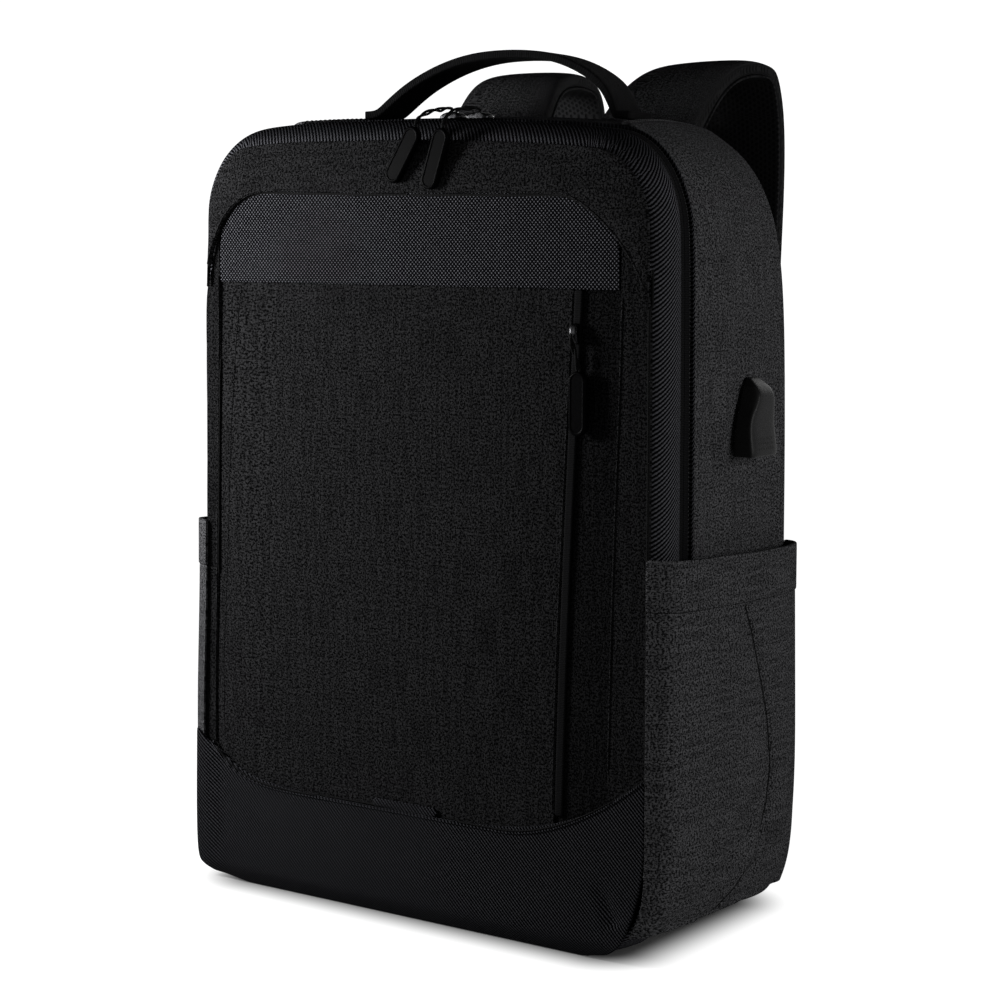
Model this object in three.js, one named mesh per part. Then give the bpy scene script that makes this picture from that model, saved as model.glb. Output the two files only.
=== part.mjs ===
// Laptop backpack: soft rectangular body with a wrap-round zip, side pockets, carry handle and straps.
// Millimetres, +Z up, front face towards -Y, +X to the right when the front is seen.
// The origin is the middle of the base, on the surface that the bag stands on.

import * as THREE from "three";

// Overall form of the body
const bodyWidth = 306;
const bodyDepth = 150;
const bodyHeight = 443;
const topCrown = 4;
const slump = 6;

// Cloth thicknesses and the clearance between pieces
const cloth = 1.6;
const thinCloth = 1.2;
const foldedCloth = 2.4;
const clearance = 0.4;

// Wrap-round edge: rolled band, main zip and gusset
const bandWidth = 22;
const bandRoll = 4;
const tapeWidth = 5.6;
const tapeSet = 1;
const coilWidth = 2.6;
const coilHeight = 1.8;
const pipingWidth = 1.8;
const pipingRise = 0.8;
const lipWidth = 7;
const seamFront = 3.0;
const seamBack = 2.91;

// Front panels
const wallSet = 3;
const wallInset = 4.4;
const rimInset = 1.2;
const tuck = 5;
const panelCrown = 3;
const facingDrop = 95;
const yokeDrop = 46;
const yokeTipDrop = 98;
const yokeRoll = 0.6;
const bootUp = 60;
const bootFootDepth = 10;
const bootFootHeight = 12;

// Side pockets
const pocketHeight = 207;
const pocketBase = 16;
const pocketBulge = { left: 11, right: 11.5 };
const pocketTilt = 5;
const hemHeight = 26;
const dartDent = 1.6;

// Back panel
const backPad = 8;
const backCrown = 2.5;
const ridgeDepth = 3;
const channelWidth = 34;

// Charging port on the right side
const portHeight = 42;
const portWidth = 30;
const portDepth = 12.4;
const portUp = 259;
const portAlong = 79;

// Carry handle
const webbing = 25;
const handleThickness = 4.5;
const handleSpan = 166;
const handleRise = 30;
const handleOffset = -1;
const handleBack = 87;
const handleFoot = 8;

// Shoulder straps
const strapWidth = 62;
const padThickness = 10;
const meshThickness = 1.6;
const strapReach = 93;
const leftReach = 22;
const strapArch = 38;
const strapRootDrop = 5;
const strapRootX = 48.5;
const strapEndX = 98;
const strapEndUp = 145;
const leftSplay = 10;
const anchorX = 124;
const anchorUp = 41;
const strapWebbing = 1.5;
const lockThickness = 4;
const lockBar = 5;
const lockSlot = 9;
const tabSize = 30;

// Zip sliders, cords and pull tabs
const sliderLength = 13;
const sliderWidth = 8;
const sliderHeight = 4;
const frontSliderLength = 10.4;
const frontSliderWidth = 4.4;
const frontSliderHeight = 3.2;
const sliderGap = 18;
const sliderMiddle = 15;
const pullShift = 3;
const cordDiameter = 2.4;
const pullWidth = 10.5;
const pullLength = 33;
const pullThickness = 4;
const pullEase = 0.8;
const frontPullLength = 38;
const frontPullDrop = 62;
const frontTape = 5;
const labelWidth = 44;
const labelHeight = 5;

const halfWidth = bodyWidth / 2;
const front = -bodyDepth / 2;
const back = bodyDepth / 2;
const facingBottom = bodyHeight - facingDrop;
const yokeBottom = bodyHeight - yokeDrop;
const yokeTipUp = bodyHeight - yokeTipDrop;
const frontPullUp = facingBottom - frontPullDrop;
const strapTop = bodyHeight + strapArch;
const strapRootUp = bodyHeight - strapRootDrop;

// Depths of the front layers, each laid on the one before
const wallFace = front + wallSet;
const panelBack = wallFace - clearance;
const panelFace = panelBack - thinCloth;
const facingBack = panelFace - clearance;
const facingFace = facingBack - thinCloth;
const yokeBack = facingFace - clearance;
const yokeFace = yokeBack - cloth;
const borderFace = panelBack - foldedCloth;
const bootBack = borderFace - clearance;
const bootFace = bootBack - cloth;

// Places of the wrap-round pieces, from front to back
const bandFront = wallFace;
const bandBack = bandFront + bandWidth;
const frontTapeFront = bandBack + clearance;
const frontTapeBack = frontTapeFront + tapeWidth;
const rearTapeFront = frontTapeBack + clearance;
const rearTapeBack = rearTapeFront + tapeWidth;
const pipingFront = rearTapeBack + clearance;
const pipingBack = pipingFront + pipingWidth;
const gussetFront = pipingBack + clearance;
const zipMiddle = (frontTapeBack + rearTapeFront) / 2;

// Cross-sections of the body at a share of its depth. Widths and "across" are shares of the half width,
// heights and "down" are shares of the height; across and down are the radii of the upper corners,
// and "round" is 2 for an elliptic corner and more for a squarer one.
const sections = [
  { depth: 0.00, width: 0.995, top: 0.963, across: 0.250, down: 0.110, round: 2.0 },
  { depth: 0.17, width: 1.004, top: 0.984, across: 0.280, down: 0.123, round: 2.0 },
  { depth: 0.25, width: 1.000, top: 0.989, across: 0.290, down: 0.138, round: 2.0 },
  { depth: 0.50, width: 1.004, top: 0.998, across: 0.370, down: 0.210, round: 2.3 },
  { depth: 0.80, width: 0.990, top: 1.003, across: 0.500, down: 0.275, round: 2.7 },
  { depth: 1.00, width: 0.956, top: 1.003, across: 0.580, down: 0.305, round: 3.0 },
];

// The foot on each side, at the front and at the back: how far the side stands out at the bottom,
// and the radii of the rounding under it, as shares of the half width and of the height.
const feet = {
  left: [
    { depth: 0.0, flare: 0.042, across: 0.230, up: 0.036 },
    { depth: 1.0, flare: 0.010, across: 0.120, up: 0.065 },
  ],
  right: [
    { depth: 0.0, flare: -0.004, across: 0.260, up: 0.100 },
    { depth: 1.0, flare: 0.010, across: 0.120, up: 0.075 },
  ],
};

// Stops along the half outline: 0 to 1 is the foot, 1 to 2 the side, 2 to 3 the corner, 3 to 4 the top.
const halfTurns = [0, 0.35, 0.7, 1, 1.3, 1.6, 2, 2.2, 2.4, 2.6, 2.8, 3, 3.5, 4];
const footToCorner = 1.6;

const mix = (a, b, share) => a + (b - a) * share;
const clamp = (value) => Math.min(1, Math.max(0, value));
const ease = (value) => clamp(value) ** 2 * (3 - 2 * clamp(value));
const quarter = Math.PI / 2;

// Reads one row of a table between its rows
function rowAt(rows, key, at) {
  const last = rows.length - 1;
  let next = rows.findIndex((row) => row[key] > at);
  if (next < 0) next = last;
  next = Math.max(next, 1);
  const before = rows[next - 1];
  const after = rows[next];
  const share = clamp((at - before[key]) / (after[key] - before[key]));
  const result = {};
  for (const name of Object.keys(before)) {
    result[name] = mix(before[name], after[name], share);
  }
  return result;
}

// The bag leans: its upper right corner has settled lower than its upper left one
function settle(x, y, z) {
  return new THREE.Vector3(x, y, z - slump * (x / halfWidth) * (z / bodyHeight) ** 4);
}

// Sizes of the outline at depth y on one side, drawn in by inset
function outlineAt(side, y, inset) {
  const depth = (y - front) / bodyDepth;
  const section = rowAt(sections, "depth", depth);
  const foot = rowAt(side < 0 ? feet.left : feet.right, "depth", depth);
  const width = section.width * halfWidth - inset;
  const footAcross = Math.max(foot.across * halfWidth - inset, cloth);
  const footUp = Math.max(foot.up * bodyHeight - inset, cloth);
  const across = section.across * halfWidth - inset;
  const down = section.down * bodyHeight - inset;
  const top = section.top * bodyHeight - inset;
  const low = width + foot.flare * halfWidth;
  return { width, low, footAcross, footUp, across, down, top, inset, round: section.round };
}

// A point on the body's skin: side is -1 or 1, turn runs along the half outline, inset goes inwards
function skin(side, turn, y, inset = 0) {
  const o = outlineAt(side, y, inset);
  const cornerBase = o.top - topCrown - o.down;
  let x = 0;
  let z = 0;
  if (turn <= 1) {
    x = o.low - o.footAcross + o.footAcross * Math.sin(turn * quarter);
    z = inset + o.footUp - o.footUp * Math.cos(turn * quarter);
  } else if (turn <= 2) {
    const rise = turn - 1;
    x = mix(o.width, o.low, (1 - rise) ** footToCorner);
    z = mix(inset + o.footUp, cornerBase, rise);
  } else if (turn <= 3) {
    const angle = (turn - 2) * quarter;
    x = o.width - o.across + o.across * Math.cos(angle) ** (2 / o.round);
    z = cornerBase + o.down * Math.sin(angle) ** (2 / o.round);
  } else {
    const run = turn - 3;
    x = (o.width - o.across) * (1 - run);
    z = o.top - topCrown * (1 - run) ** 2;
  }
  return settle(side * x, y, z);
}

// Half width of the skin at height z, before the bag settles
function halfWidthAt(side, z, y) {
  const o = outlineAt(side, y, 0);
  const cornerBase = o.top - topCrown - o.down;
  if (z < o.footUp) {
    const sink = 1 - z / o.footUp;
    return o.low - o.footAcross + o.footAcross * Math.sqrt(1 - clamp(sink) ** 2);
  }
  if (z < cornerBase) {
    const rise = (z - o.footUp) / (cornerBase - o.footUp);
    return mix(o.width, o.low, (1 - rise) ** footToCorner);
  }
  const climb = clamp((z - cornerBase) / o.down);
  return o.width - o.across + o.across * (1 - climb ** o.round) ** (1 / o.round);
}

// A closed piece of cloth: place(u, v, layer) gives the outer face on layer 0 and the inner on layer 1.
// The u and v values are lists from edge to edge.
function shell(place, uList, vList) {
  const columns = uList.length;
  const rows = vList.length;
  const positions = [];
  for (const layer of [0, 1]) {
    for (const u of uList) {
      for (const v of vList) {
        positions.push(...place(u, v, layer).toArray());
      }
    }
  }
  const at = (layer, i, j) => layer * columns * rows + i * rows + j;
  const triangles = [];
  const quad = (a, b, c, d) => triangles.push(a, b, c, a, c, d);
  for (let i = 0; i < columns - 1; i += 1) {
    for (let j = 0; j < rows - 1; j += 1) {
      quad(at(0, i, j), at(0, i + 1, j), at(0, i + 1, j + 1), at(0, i, j + 1));
      quad(at(1, i, j), at(1, i, j + 1), at(1, i + 1, j + 1), at(1, i + 1, j));
    }
  }
  for (let i = 0; i < columns - 1; i += 1) {
    quad(at(0, i, 0), at(1, i, 0), at(1, i + 1, 0), at(0, i + 1, 0));
    quad(at(0, i, rows - 1), at(0, i + 1, rows - 1), at(1, i + 1, rows - 1), at(1, i, rows - 1));
  }
  for (let j = 0; j < rows - 1; j += 1) {
    quad(at(0, 0, j), at(0, 0, j + 1), at(1, 0, j + 1), at(1, 0, j));
    quad(at(0, columns - 1, j), at(1, columns - 1, j), at(1, columns - 1, j + 1), at(0, columns - 1, j + 1));
  }
  return outward(positions, triangles);
}

// Builds the geometry and turns its faces out, by the sign of the volume they enclose
function outward(positions, triangles) {
  const corner = (index) => new THREE.Vector3(...positions.slice(index * 3, index * 3 + 3));
  let volume = 0;
  for (let i = 0; i < triangles.length; i += 3) {
    const [a, b, c] = triangles.slice(i, i + 3).map(corner);
    volume += a.dot(b.cross(c));
  }
  const geometry = new THREE.BufferGeometry();
  geometry.setAttribute("position", new THREE.Float32BufferAttribute(positions, 3));
  geometry.setIndex(volume < 0 ? triangles.slice().reverse() : triangles);
  geometry.computeVertexNormals();
  return geometry;
}

const steps = (count) => Array.from({ length: count + 1 }, (_, index) => index / count);

// Materials: mottled polyester, smooth nylon, webbing, spacer mesh, rubber, plastic and metal
const finishes = {
  heather: { color: 0x1c1c1f, roughness: 0.92, metalness: 0 },
  nylon: { color: 0x17181d, roughness: 0.62, metalness: 0 },
  webbing: { color: 0x08080a, roughness: 0.85, metalness: 0 },
  mesh: { color: 0x060607, roughness: 0.9, metalness: 0 },
  rubber: { color: 0x0b0b0d, roughness: 0.45, metalness: 0 },
  plastic: { color: 0x2c2d31, roughness: 0.4, metalness: 0 },
  zip: { color: 0x0a0a0c, roughness: 0.7, metalness: 0 },
  metal: { color: 0x55565a, roughness: 0.3, metalness: 0.9 },
};

const bag = new THREE.Group();

function add(name, finish, geometry, parent = bag) {
  const mesh = new THREE.Mesh(geometry, new THREE.MeshStandardMaterial(finishes[finish]));
  mesh.name = name;
  parent.add(mesh);
  return mesh;
}

const sides = [
  { name: "left", side: -1 },
  { name: "right", side: 1 },
];

// Pieces that run round the outline from the left foot over the top to the right foot
const roundTurns = [
  ...halfTurns.map((turn) => [-1, turn]),
  ...halfTurns.slice(0, -1).reverse().map((turn) => [1, turn]),
];

function roundShell(vList, profile) {
  const place = ([side, turn], v, layer) => {
    const { y, inset } = profile(v, layer, turn);
    return skin(side, turn, y, inset);
  };
  return shell(place, roundTurns, vList);
}

// Rolled nylon band along the front edge; it lies flat where it passes under the base
const bandRows = [
  { along: 0.00, rise: -0.50 },
  { along: 0.12, rise: 0.45 },
  { along: 0.36, rise: 1.00 },
  { along: 0.66, rise: 0.95 },
  { along: 0.90, rise: 0.50 },
  { along: 1.00, rise: 0.00 },
];
const bandStops = bandRows.map((row) => row.along);
add("edge_band", "nylon", roundShell(bandStops, (v, layer, turn) => ({
  y: mix(bandFront, bandBack, v),
  inset: layer * cloth - bandRoll * rowAt(bandRows, "along", v).rise * ease(turn),
})));

// Main zip: two flat tapes that meet over a coil, and a thin piping along the gusset
function flatRound(from, to, set, thickness) {
  return roundShell([0, 1], (v, layer) => ({ y: mix(from, to, v), inset: set + layer * thickness }));
}
const coilSet = tapeSet + thinCloth + clearance;
const pipingInset = (turn) => (pipingRise + clearance) * ease(turn);
add("zip_tape_front", "zip", flatRound(frontTapeFront, frontTapeBack, tapeSet, thinCloth));
add("zip_tape_rear", "zip", flatRound(rearTapeFront, rearTapeBack, tapeSet, thinCloth));
add("zip_coil", "zip", flatRound(zipMiddle - coilWidth / 2, zipMiddle + coilWidth / 2, coilSet, coilHeight));
add("zip_piping", "nylon", roundShell([0, 1], (v, layer, turn) => ({
  y: mix(pipingFront, pipingBack, v),
  inset: mix(clearance - pipingInset(turn), thinCloth + clearance, layer),
})));

// Gussets: each side panel laps over the top panel with a raised, stitched lip
const lipShare = lipWidth / (halfWidth * sections[3].across * quarter);
const seamTurn = (y) => mix(seamFront, seamBack, (y - gussetFront) / (back - gussetFront));
const gussetDepths = [0, 0.18, 0.4, 0.62, 0.84, 1];
const lap = cloth + clearance;
const plainStops = halfTurns.filter((turn) => turn < seamBack - 2 * lipShare);
const sideStops = [
  ...plainStops.map((turn) => ({ turn, lips: 0, raised: 0 })),
  { turn: null, lips: 1.7, raised: 0 },
  { turn: null, lips: 1.0, raised: 1 },
  { turn: null, lips: 0.0, raised: 1 },
];
for (const { name, side } of sides) {
  const place = (stop, v, layer) => {
    const y = mix(gussetFront, back, v);
    const turn = stop.turn ?? seamTurn(y) - stop.lips * lipShare;
    return skin(side, turn, y, layer * cloth - stop.raised * lap);
  };
  add(`side_gusset_${name}`, "heather", shell(place, sideStops, gussetDepths));
}
const topStops = [-1, -0.93, -0.5, 0, 0.5, 0.93, 1];
add("top_gusset", "heather", shell((u, v, layer) => {
  const y = mix(gussetFront, back, v);
  const seam = seamTurn(y) - lipShare * 0.45;
  const turn = mix(4, seam, Math.abs(u));
  return skin(u < 0 ? -1 : 1, turn, y, layer * cloth);
}, topStops, gussetDepths));

// Padded back panel between the rear edges of the gussets, with a vertical air channel
const panelTurns = halfTurns.filter((turn) => turn <= 3);
function acrossPanel(turn, share, y, inset) {
  const left = skin(-1, turn, y, inset);
  const right = skin(1, turn, y, inset);
  const point = left.clone().lerp(right, share);
  const bow = turn > 2.9 ? topCrown * (1 - (2 * share - 1) ** 2) : 0;
  point.z += bow;
  return point;
}
const backInset = cloth + clearance;
const channelShare = channelWidth / (2 * bodyWidth);
const backStops = [0, 0.04, 0.2, 0.5 - channelShare * 2, 0.5 - channelShare, 0.5];
const backColumns = [...backStops, ...backStops.slice(0, -1).reverse().map((share) => 1 - share)];
add("back_panel", "mesh", shell((u, v, layer) => {
  const point = acrossPanel(v, u, back, backInset);
  const crown = backCrown * Math.sin(Math.PI * u) * Math.sin(Math.PI * clamp(v / 3));
  const inChannel = Math.abs(u - 0.5) < channelShare * 1.2 && v > 0.4 && v < 2.7;
  const relief = inChannel ? ridgeDepth : 0;
  point.y += layer === 0 ? crown - relief : -backPad;
  return point;
}, backColumns, panelTurns));

// Base panel, flat on the ground, between the feet of the sides
const footStart = (side, y) => Math.abs(skin(side, 0, y, 0).x) - clearance;
const baseFront = front + bootFootDepth + clearance;
const baseBack = back - backPad - clearance;
add("base_panel", "nylon", shell((u, v, layer) => {
  const y = mix(baseFront, baseBack, v);
  const x = mix(-footStart(-1, y), footStart(1, y), u);
  return new THREE.Vector3(x, y, layer * cloth);
}, [0, 0.5, 1], steps(4)));

// Front wall of the main compartment; it shows as the sunken strips beside the pocket
add("front_wall", "heather", shell((u, v, layer) => {
  const point = acrossPanel(v, u, front, wallInset);
  point.y = wallFace + layer * cloth;
  return point;
}, steps(4), panelTurns));

// Curved lower edge of the yoke: straight in the middle, falling to a tip at each side.
// Bend and tip are shares of the half width; rim is how far the yoke stays inside the outline.
const yokeEnds = {
  left: { bend: 0.660, tip: 0.963, round: 2.0, rim: 4.5 },
  right: { bend: 0.640, tip: 0.974, round: 1.45, rim: rimInset },
};
const yokeEnd = (side) => (side < 0 ? yokeEnds.left : yokeEnds.right);
function yokeEdge(x) {
  const end = yokeEnd(x);
  const share = clamp((Math.abs(x) / halfWidth - end.bend) / (end.tip - end.bend));
  return yokeTipUp + (yokeBottom - yokeTipUp) * (1 - share ** end.round) ** (1 / end.round);
}

// Upper edge of the boot: level in the middle, sweeping up to the side seams
const bootSweeps = {
  left: { start: 0.400, rise: 29, bend: 4.5 },
  right: { start: 0.400, rise: 41, bend: 1.8 },
};
function bootEdge(x) {
  const sweep = x < 0 ? bootSweeps.left : bootSweeps.right;
  const share = clamp((Math.abs(x) / halfWidth - sweep.start) / (1 - sweep.start));
  return bootUp + sweep.rise * share ** sweep.bend;
}

// Rim of the front panels: the front outline less the seam
const rimAt = (side, z) => side * (halfWidthAt(side, z, front) - rimInset);

// Folds of the front, at a share of the body height: where the borders and the pocket panel turn,
// as shares of the half width
const folds = [
  { up: 0.124, borderLeft: -0.955, pocketLeft: -0.925, pocketRight: 0.605, borderRight: 0.829 },
  { up: 0.301, borderLeft: -0.948, pocketLeft: -0.921, pocketRight: 0.618, borderRight: 0.835 },
  { up: 0.469, borderLeft: -0.938, pocketLeft: -0.893, pocketRight: 0.638, borderRight: 0.845 },
  { up: 0.606, borderLeft: -0.924, pocketLeft: -0.868, pocketRight: 0.658, borderRight: 0.858 },
  { up: 0.705, borderLeft: -0.915, pocketLeft: -0.842, pocketRight: 0.671, borderRight: 0.869 },
  { up: 0.788, borderLeft: -0.913, pocketLeft: -0.809, pocketRight: 0.684, borderRight: 0.876 },
];
const foldAt = (name, z) => rowAt(folds, "up", z / bodyHeight)[name] * halfWidth;

// Folded borders down each side of the front
for (const { name, side } of sides) {
  const fold = side < 0 ? "borderLeft" : "borderRight";
  const place = (u, v, layer) => {
    const lowX = mix(foldAt(fold, bootUp), rimAt(side, bootUp), u);
    const highX = mix(foldAt(fold, yokeTipUp), rimAt(side, yokeTipUp), u);
    const z = mix(bootEdge(lowX) - tuck, yokeEdge(highX) - clearance * 2, v);
    const x = mix(foldAt(fold, z), rimAt(side, z), u);
    const point = settle(x, 0, z);
    point.y = layer === 0 ? borderFace : panelBack;
    return point;
  };
  add(`border_${name}`, "heather", shell(place, [0, 0.15, 0.6, 1], steps(8)));
}

// Front pocket panel: full in the middle, tucked under the facing above and the boot below
add("pocket_panel", "heather", shell((u, v, layer) => {
  const lowX = mix(foldAt("pocketLeft", bootUp), foldAt("pocketRight", bootUp), u);
  const z = mix(bootEdge(lowX) - tuck, facingBottom + tuck, v);
  const x = mix(foldAt("pocketLeft", z), foldAt("pocketRight", z), u);
  const rise = clamp((z - bootEdge(lowX)) / (facingBottom - bootEdge(lowX)));
  const fullness = Math.sqrt(Math.sin(Math.PI * rise)) * (1 - (2 * u - 1) ** 6);
  const point = settle(x, 0, z);
  point.y = (layer === 0 ? panelFace : panelBack) - panelCrown * fullness;
  return point;
}, [0, 0.06, 0.2, 0.4, 0.6, 0.8, 0.94, 1], [0, 0.03, 0.1, 0.25, 0.5, 0.75, 0.9, 0.97, 1]));

// Smooth facing under the yoke
add("facing", "nylon", shell((u, v, layer) => {
  const left = foldAt("borderLeft", facingBottom) + clearance * 2;
  const right = foldAt("borderRight", facingBottom) - clearance * 2;
  const x = mix(left, right, u);
  const point = settle(x, 0, mix(facingBottom, yokeEdge(x) + tuck, v));
  point.y = layer === 0 ? facingFace : facingBack;
  return point;
}, [0, 0.04, 0.1, 0.16, 0.3, 0.5, 0.7, 0.8, 0.9, 0.96, 1], [0, 1]));

// Yoke over the top of the front, with a proud rolled lower edge
const yokeRows = [
  { along: 0.00, rise: 0.0, laid: 0 },
  { along: 0.10, rise: 1.0, laid: 0 },
  { along: 0.40, rise: 0.5, laid: 0 },
  { along: 1.00, rise: 0.0, laid: 1 },
];
const yokeArcs = 6;
const yokeStops = [
  ...steps(yokeArcs).map((share) => ({ side: -1, arc: share, run: 0 })),
  { side: -1, arc: 1, run: 0.5 },
  { side: 1, arc: 1, run: 1 },
  { side: 1, arc: 1, run: 0.5 },
  ...steps(yokeArcs).reverse().map((share) => ({ side: 1, arc: share, run: 0 })),
];
add("yoke", "heather", shell(({ side, arc, run }, v, layer) => {
  const end = yokeEnd(side);
  const bendX = (end.bend + (end.tip - end.bend) * Math.cos(arc * quarter) ** (2 / end.round)) * halfWidth;
  const lowX = side * bendX * (1 - run);
  const low = settle(lowX, 0, yokeEdge(lowX));
  const inset = mix(end.rim, rimInset, arc);
  const o = outlineAt(side, front, inset);
  const cornerBase = o.top - topCrown - o.down;
  const tipTurn = 1 + (yokeTipUp - o.footUp) / (cornerBase - o.footUp);
  const rim = skin(side, run > 0 ? 3 + run : mix(tipTurn, 3, arc), front, inset);
  const point = low.lerp(rim, v);
  const row = rowAt(yokeRows, "along", v);
  const tipShare = ease(arc * 3);
  const seat = mix(yokeBack, panelBack, row.laid * tipShare);
  point.y = layer === 0 ? seat - cloth - yokeRoll * row.rise : seat;
  return point;
}, yokeStops, yokeRows.map((row) => row.along)));

// Smooth boot round the bottom of the front, turned under at the foot
const bootRows = [
  { along: 0.00, up: 0, rise: 0 },
  { along: 0.06, up: 0, rise: 0.71 },
  { along: 0.14, up: 0.3, rise: 0.83 },
  { along: 0.24, up: 0.65, rise: 0.97 },
  { along: 0.36, up: 1, rise: 1 },
  { along: 1.00, up: 1, rise: 1 },
];
const bootColumns = [0, 0.03, 0.08, 0.18, 0.34, 0.5, 0.66, 0.8, 0.9, 0.96, 1];
add("boot", "nylon", shell((u, v, layer) => {
  const row = rowAt(bootRows, "along", v);
  const inner = layer * cloth;
  const edgeX = mix(rimAt(-1, bootUp), rimAt(1, bootUp), u);
  const turned = row.up < 1 || v <= 0.36;
  const z = turned ? row.up * bootFootHeight : mix(bootFootHeight, bootEdge(edgeX), (v - 0.36) / 0.64);
  const height = clearance + z + inner * (1 - row.up);
  const y = mix(front + bootFootDepth, bootFace, row.rise) + inner * row.up;
  const underBand = y > bandFront - cloth - 2 * clearance;
  const reach = (side) => (underBand ? side * (footStart(side, y) - clearance) : rimAt(side, height));
  const point = settle(mix(reach(-1), reach(1), u), 0, height);
  point.y = y;
  return point;
}, bootColumns, [...bootRows.map((row) => row.along).slice(0, -1), 0.6, 0.8, 1]));

// Plain seam tab above the middle of the boot
const labelMiddle = -halfWidth * 0.03;
const labelY = panelFace - panelCrown * 0.35 - clearance;
const label = new THREE.Shape();
label.moveTo(0, 0);
label.lineTo(labelWidth - labelHeight / 2, 0);
label.absarc(labelWidth - labelHeight / 2, labelHeight / 2, labelHeight / 2, -quarter, quarter, false);
label.lineTo(0, labelHeight);
label.closePath();
const labelGeometry = new THREE.ExtrudeGeometry(label, {
  depth: thinCloth,
  bevelEnabled: false,
  curveSegments: 5,
});
const seamTab = add("boot_tab", "nylon", labelGeometry);
seamTab.rotation.x = quarter;
seamTab.position.set(labelMiddle - labelWidth / 2, labelY, bootUp + clearance);

// Side pockets, whose mouths rise a little towards the front. Rows across are shares of the body
// depth and of the bulge; rows up are shares of the pocket height.
const pocketAcross = [
  { depth: -0.004, out: 0.00 },
  { depth: 0.010, out: 0.52 },
  { depth: 0.035, out: 0.82 },
  { depth: 0.110, out: 0.98 },
  { depth: 0.280, out: 1.02 },
  { depth: 0.450, out: 1.00 },
  { depth: 0.620, out: 1.00 },
  { depth: 0.760, out: 1.00 },
  { depth: 0.900, out: 0.94 },
  { depth: 0.965, out: 0.72 },
  { depth: 0.998, out: 0.40 },
  { depth: 1.004, out: 0.00 },
];
const pocketUp = [
  { up: 0.00, out: 0.46 },
  { up: 0.05, out: 0.62 },
  { up: 0.12, out: 0.84 },
  { up: 0.30, out: 1.00 },
  { up: 0.70, out: 1.00 },
  { up: 1.00, out: 1.03 },
];
// The dart seam that draws the pocket in: its place along the depth at each height
const dart = [
  { up: 0.00, along: 0.400 },
  { up: 0.07, along: 0.470 },
  { up: 0.19, along: 0.600 },
  { up: 0.31, along: 0.675 },
  { up: 0.42, along: 0.700 },
  { up: 0.58, along: 0.675 },
  { up: 0.76, along: 0.610 },
  { up: 0.86, along: 0.567 },
  { up: 1.00, along: 0.560 },
];
const dartColumn = pocketAcross[6].depth;
const pocketEnd = pocketAcross[pocketAcross.length - 1].depth;
const hemShare = hemHeight / (pocketHeight - pocketBase);

function pocketPoint(side, column, up, offset) {
  const top = pocketHeight + pocketTilt * (1 - clamp(column.depth));
  const height = mix(pocketBase, top, up);
  const dartDepth = rowAt(dart, "up", up).along;
  const before = column.depth <= dartColumn;
  const shifted = before
    ? column.depth * (dartDepth / dartColumn)
    : mix(dartDepth, pocketEnd, (column.depth - dartColumn) / (pocketEnd - dartColumn));
  const depth = column.depth < pocketAcross[3].depth ? column.depth : shifted;
  const y = front + bodyDepth * depth;
  const dent = column.depth === dartColumn ? dartDent * Math.sin(Math.PI * clamp(up / (1 - hemShare))) : 0;
  const bulge = side < 0 ? pocketBulge.left : pocketBulge.right;
  const fullness = bulge * column.out * rowAt(pocketUp, "up", up).out;
  const out = column.out > 0 ? fullness - dent : clearance - rimInset;
  const x = halfWidthAt(side, height, y) + out;
  const ahead = column.out < 0.5 && depth < 0.5 ? -offset : 0;
  const behind = column.out < 0.5 && depth > 0.5 ? offset : 0;
  const aside = ahead === 0 && behind === 0 ? offset : 0;
  return settle(side * (x + aside), y + ahead + behind, height);
}

const pocketRise = [0, 0.05, 0.12, 0.22, 0.36, 0.52, 0.7];
for (const { name, side } of sides) {
  const top = 1 - hemShare;
  const place = (column, up, layer) => pocketPoint(side, column, up, (1 - layer) * cloth);
  add(`side_pocket_${name}`, "heather", shell(place, pocketAcross, [...pocketRise, top]));
  const hemPlace = (column, up, layer) => pocketPoint(side, column, up, (1 - layer) * foldedCloth);
  const hemStart = top + clearance / (pocketHeight - pocketBase);
  add(`pocket_hem_${name}`, "heather", shell(hemPlace, pocketAcross, [hemStart, 1]));
}

// Charging port on the right gusset: rows up its height give its front and back edges as shares
// of its width and how far it stands out as a share of its depth
const portRows = [
  { up: 0.00, ahead: 0.02, behind: 0.98, out: 0.98 },
  { up: 0.10, ahead: 0.00, behind: 1.00, out: 1.00 },
  { up: 0.30, ahead: 0.02, behind: 1.00, out: 0.86 },
  { up: 0.48, ahead: 0.08, behind: 1.00, out: 0.82 },
  { up: 0.65, ahead: 0.20, behind: 0.97, out: 0.90 },
  { up: 0.78, ahead: 0.27, behind: 0.93, out: 0.94 },
  { up: 0.88, ahead: 0.33, behind: 0.89, out: 0.74 },
  { up: 0.96, ahead: 0.42, behind: 0.82, out: 0.38 },
  { up: 1.00, ahead: 0.50, behind: 0.74, out: 0.16 },
];
const portEdges = [
  { across: 0.00, out: 0.88 },
  { across: 0.07, out: 1.00 },
  { across: 0.50, out: 1.00 },
  { across: 0.93, out: 1.00 },
  { across: 1.00, out: 0.88 },
];
add("usb_housing", "plastic", shell((edge, row, layer) => {
  const z = portUp + portHeight * row.up;
  const y = front + portAlong + portWidth * mix(row.ahead, row.behind, edge.across);
  const seat = halfWidthAt(1, z, y) + clearance;
  return settle(layer === 0 ? seat + portDepth * row.out * edge.out : seat, y, z);
}, portEdges, portRows));

// Carry handle: one length of webbing arched over the top, its ends laid flat on the top panel
const handleY = front + handleBack;
const handleSeat = (x) => {
  const heights = [-1, 1].map((edge) => {
    const y = handleY + edge * webbing / 2;
    const o = outlineAt(Math.sign(x), y, 0);
    const run = clamp(Math.abs(x) / (o.width - o.across));
    return skin(Math.sign(x), 4 - run, y).z;
  });
  return Math.max(...heights) + clearance;
};

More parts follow.
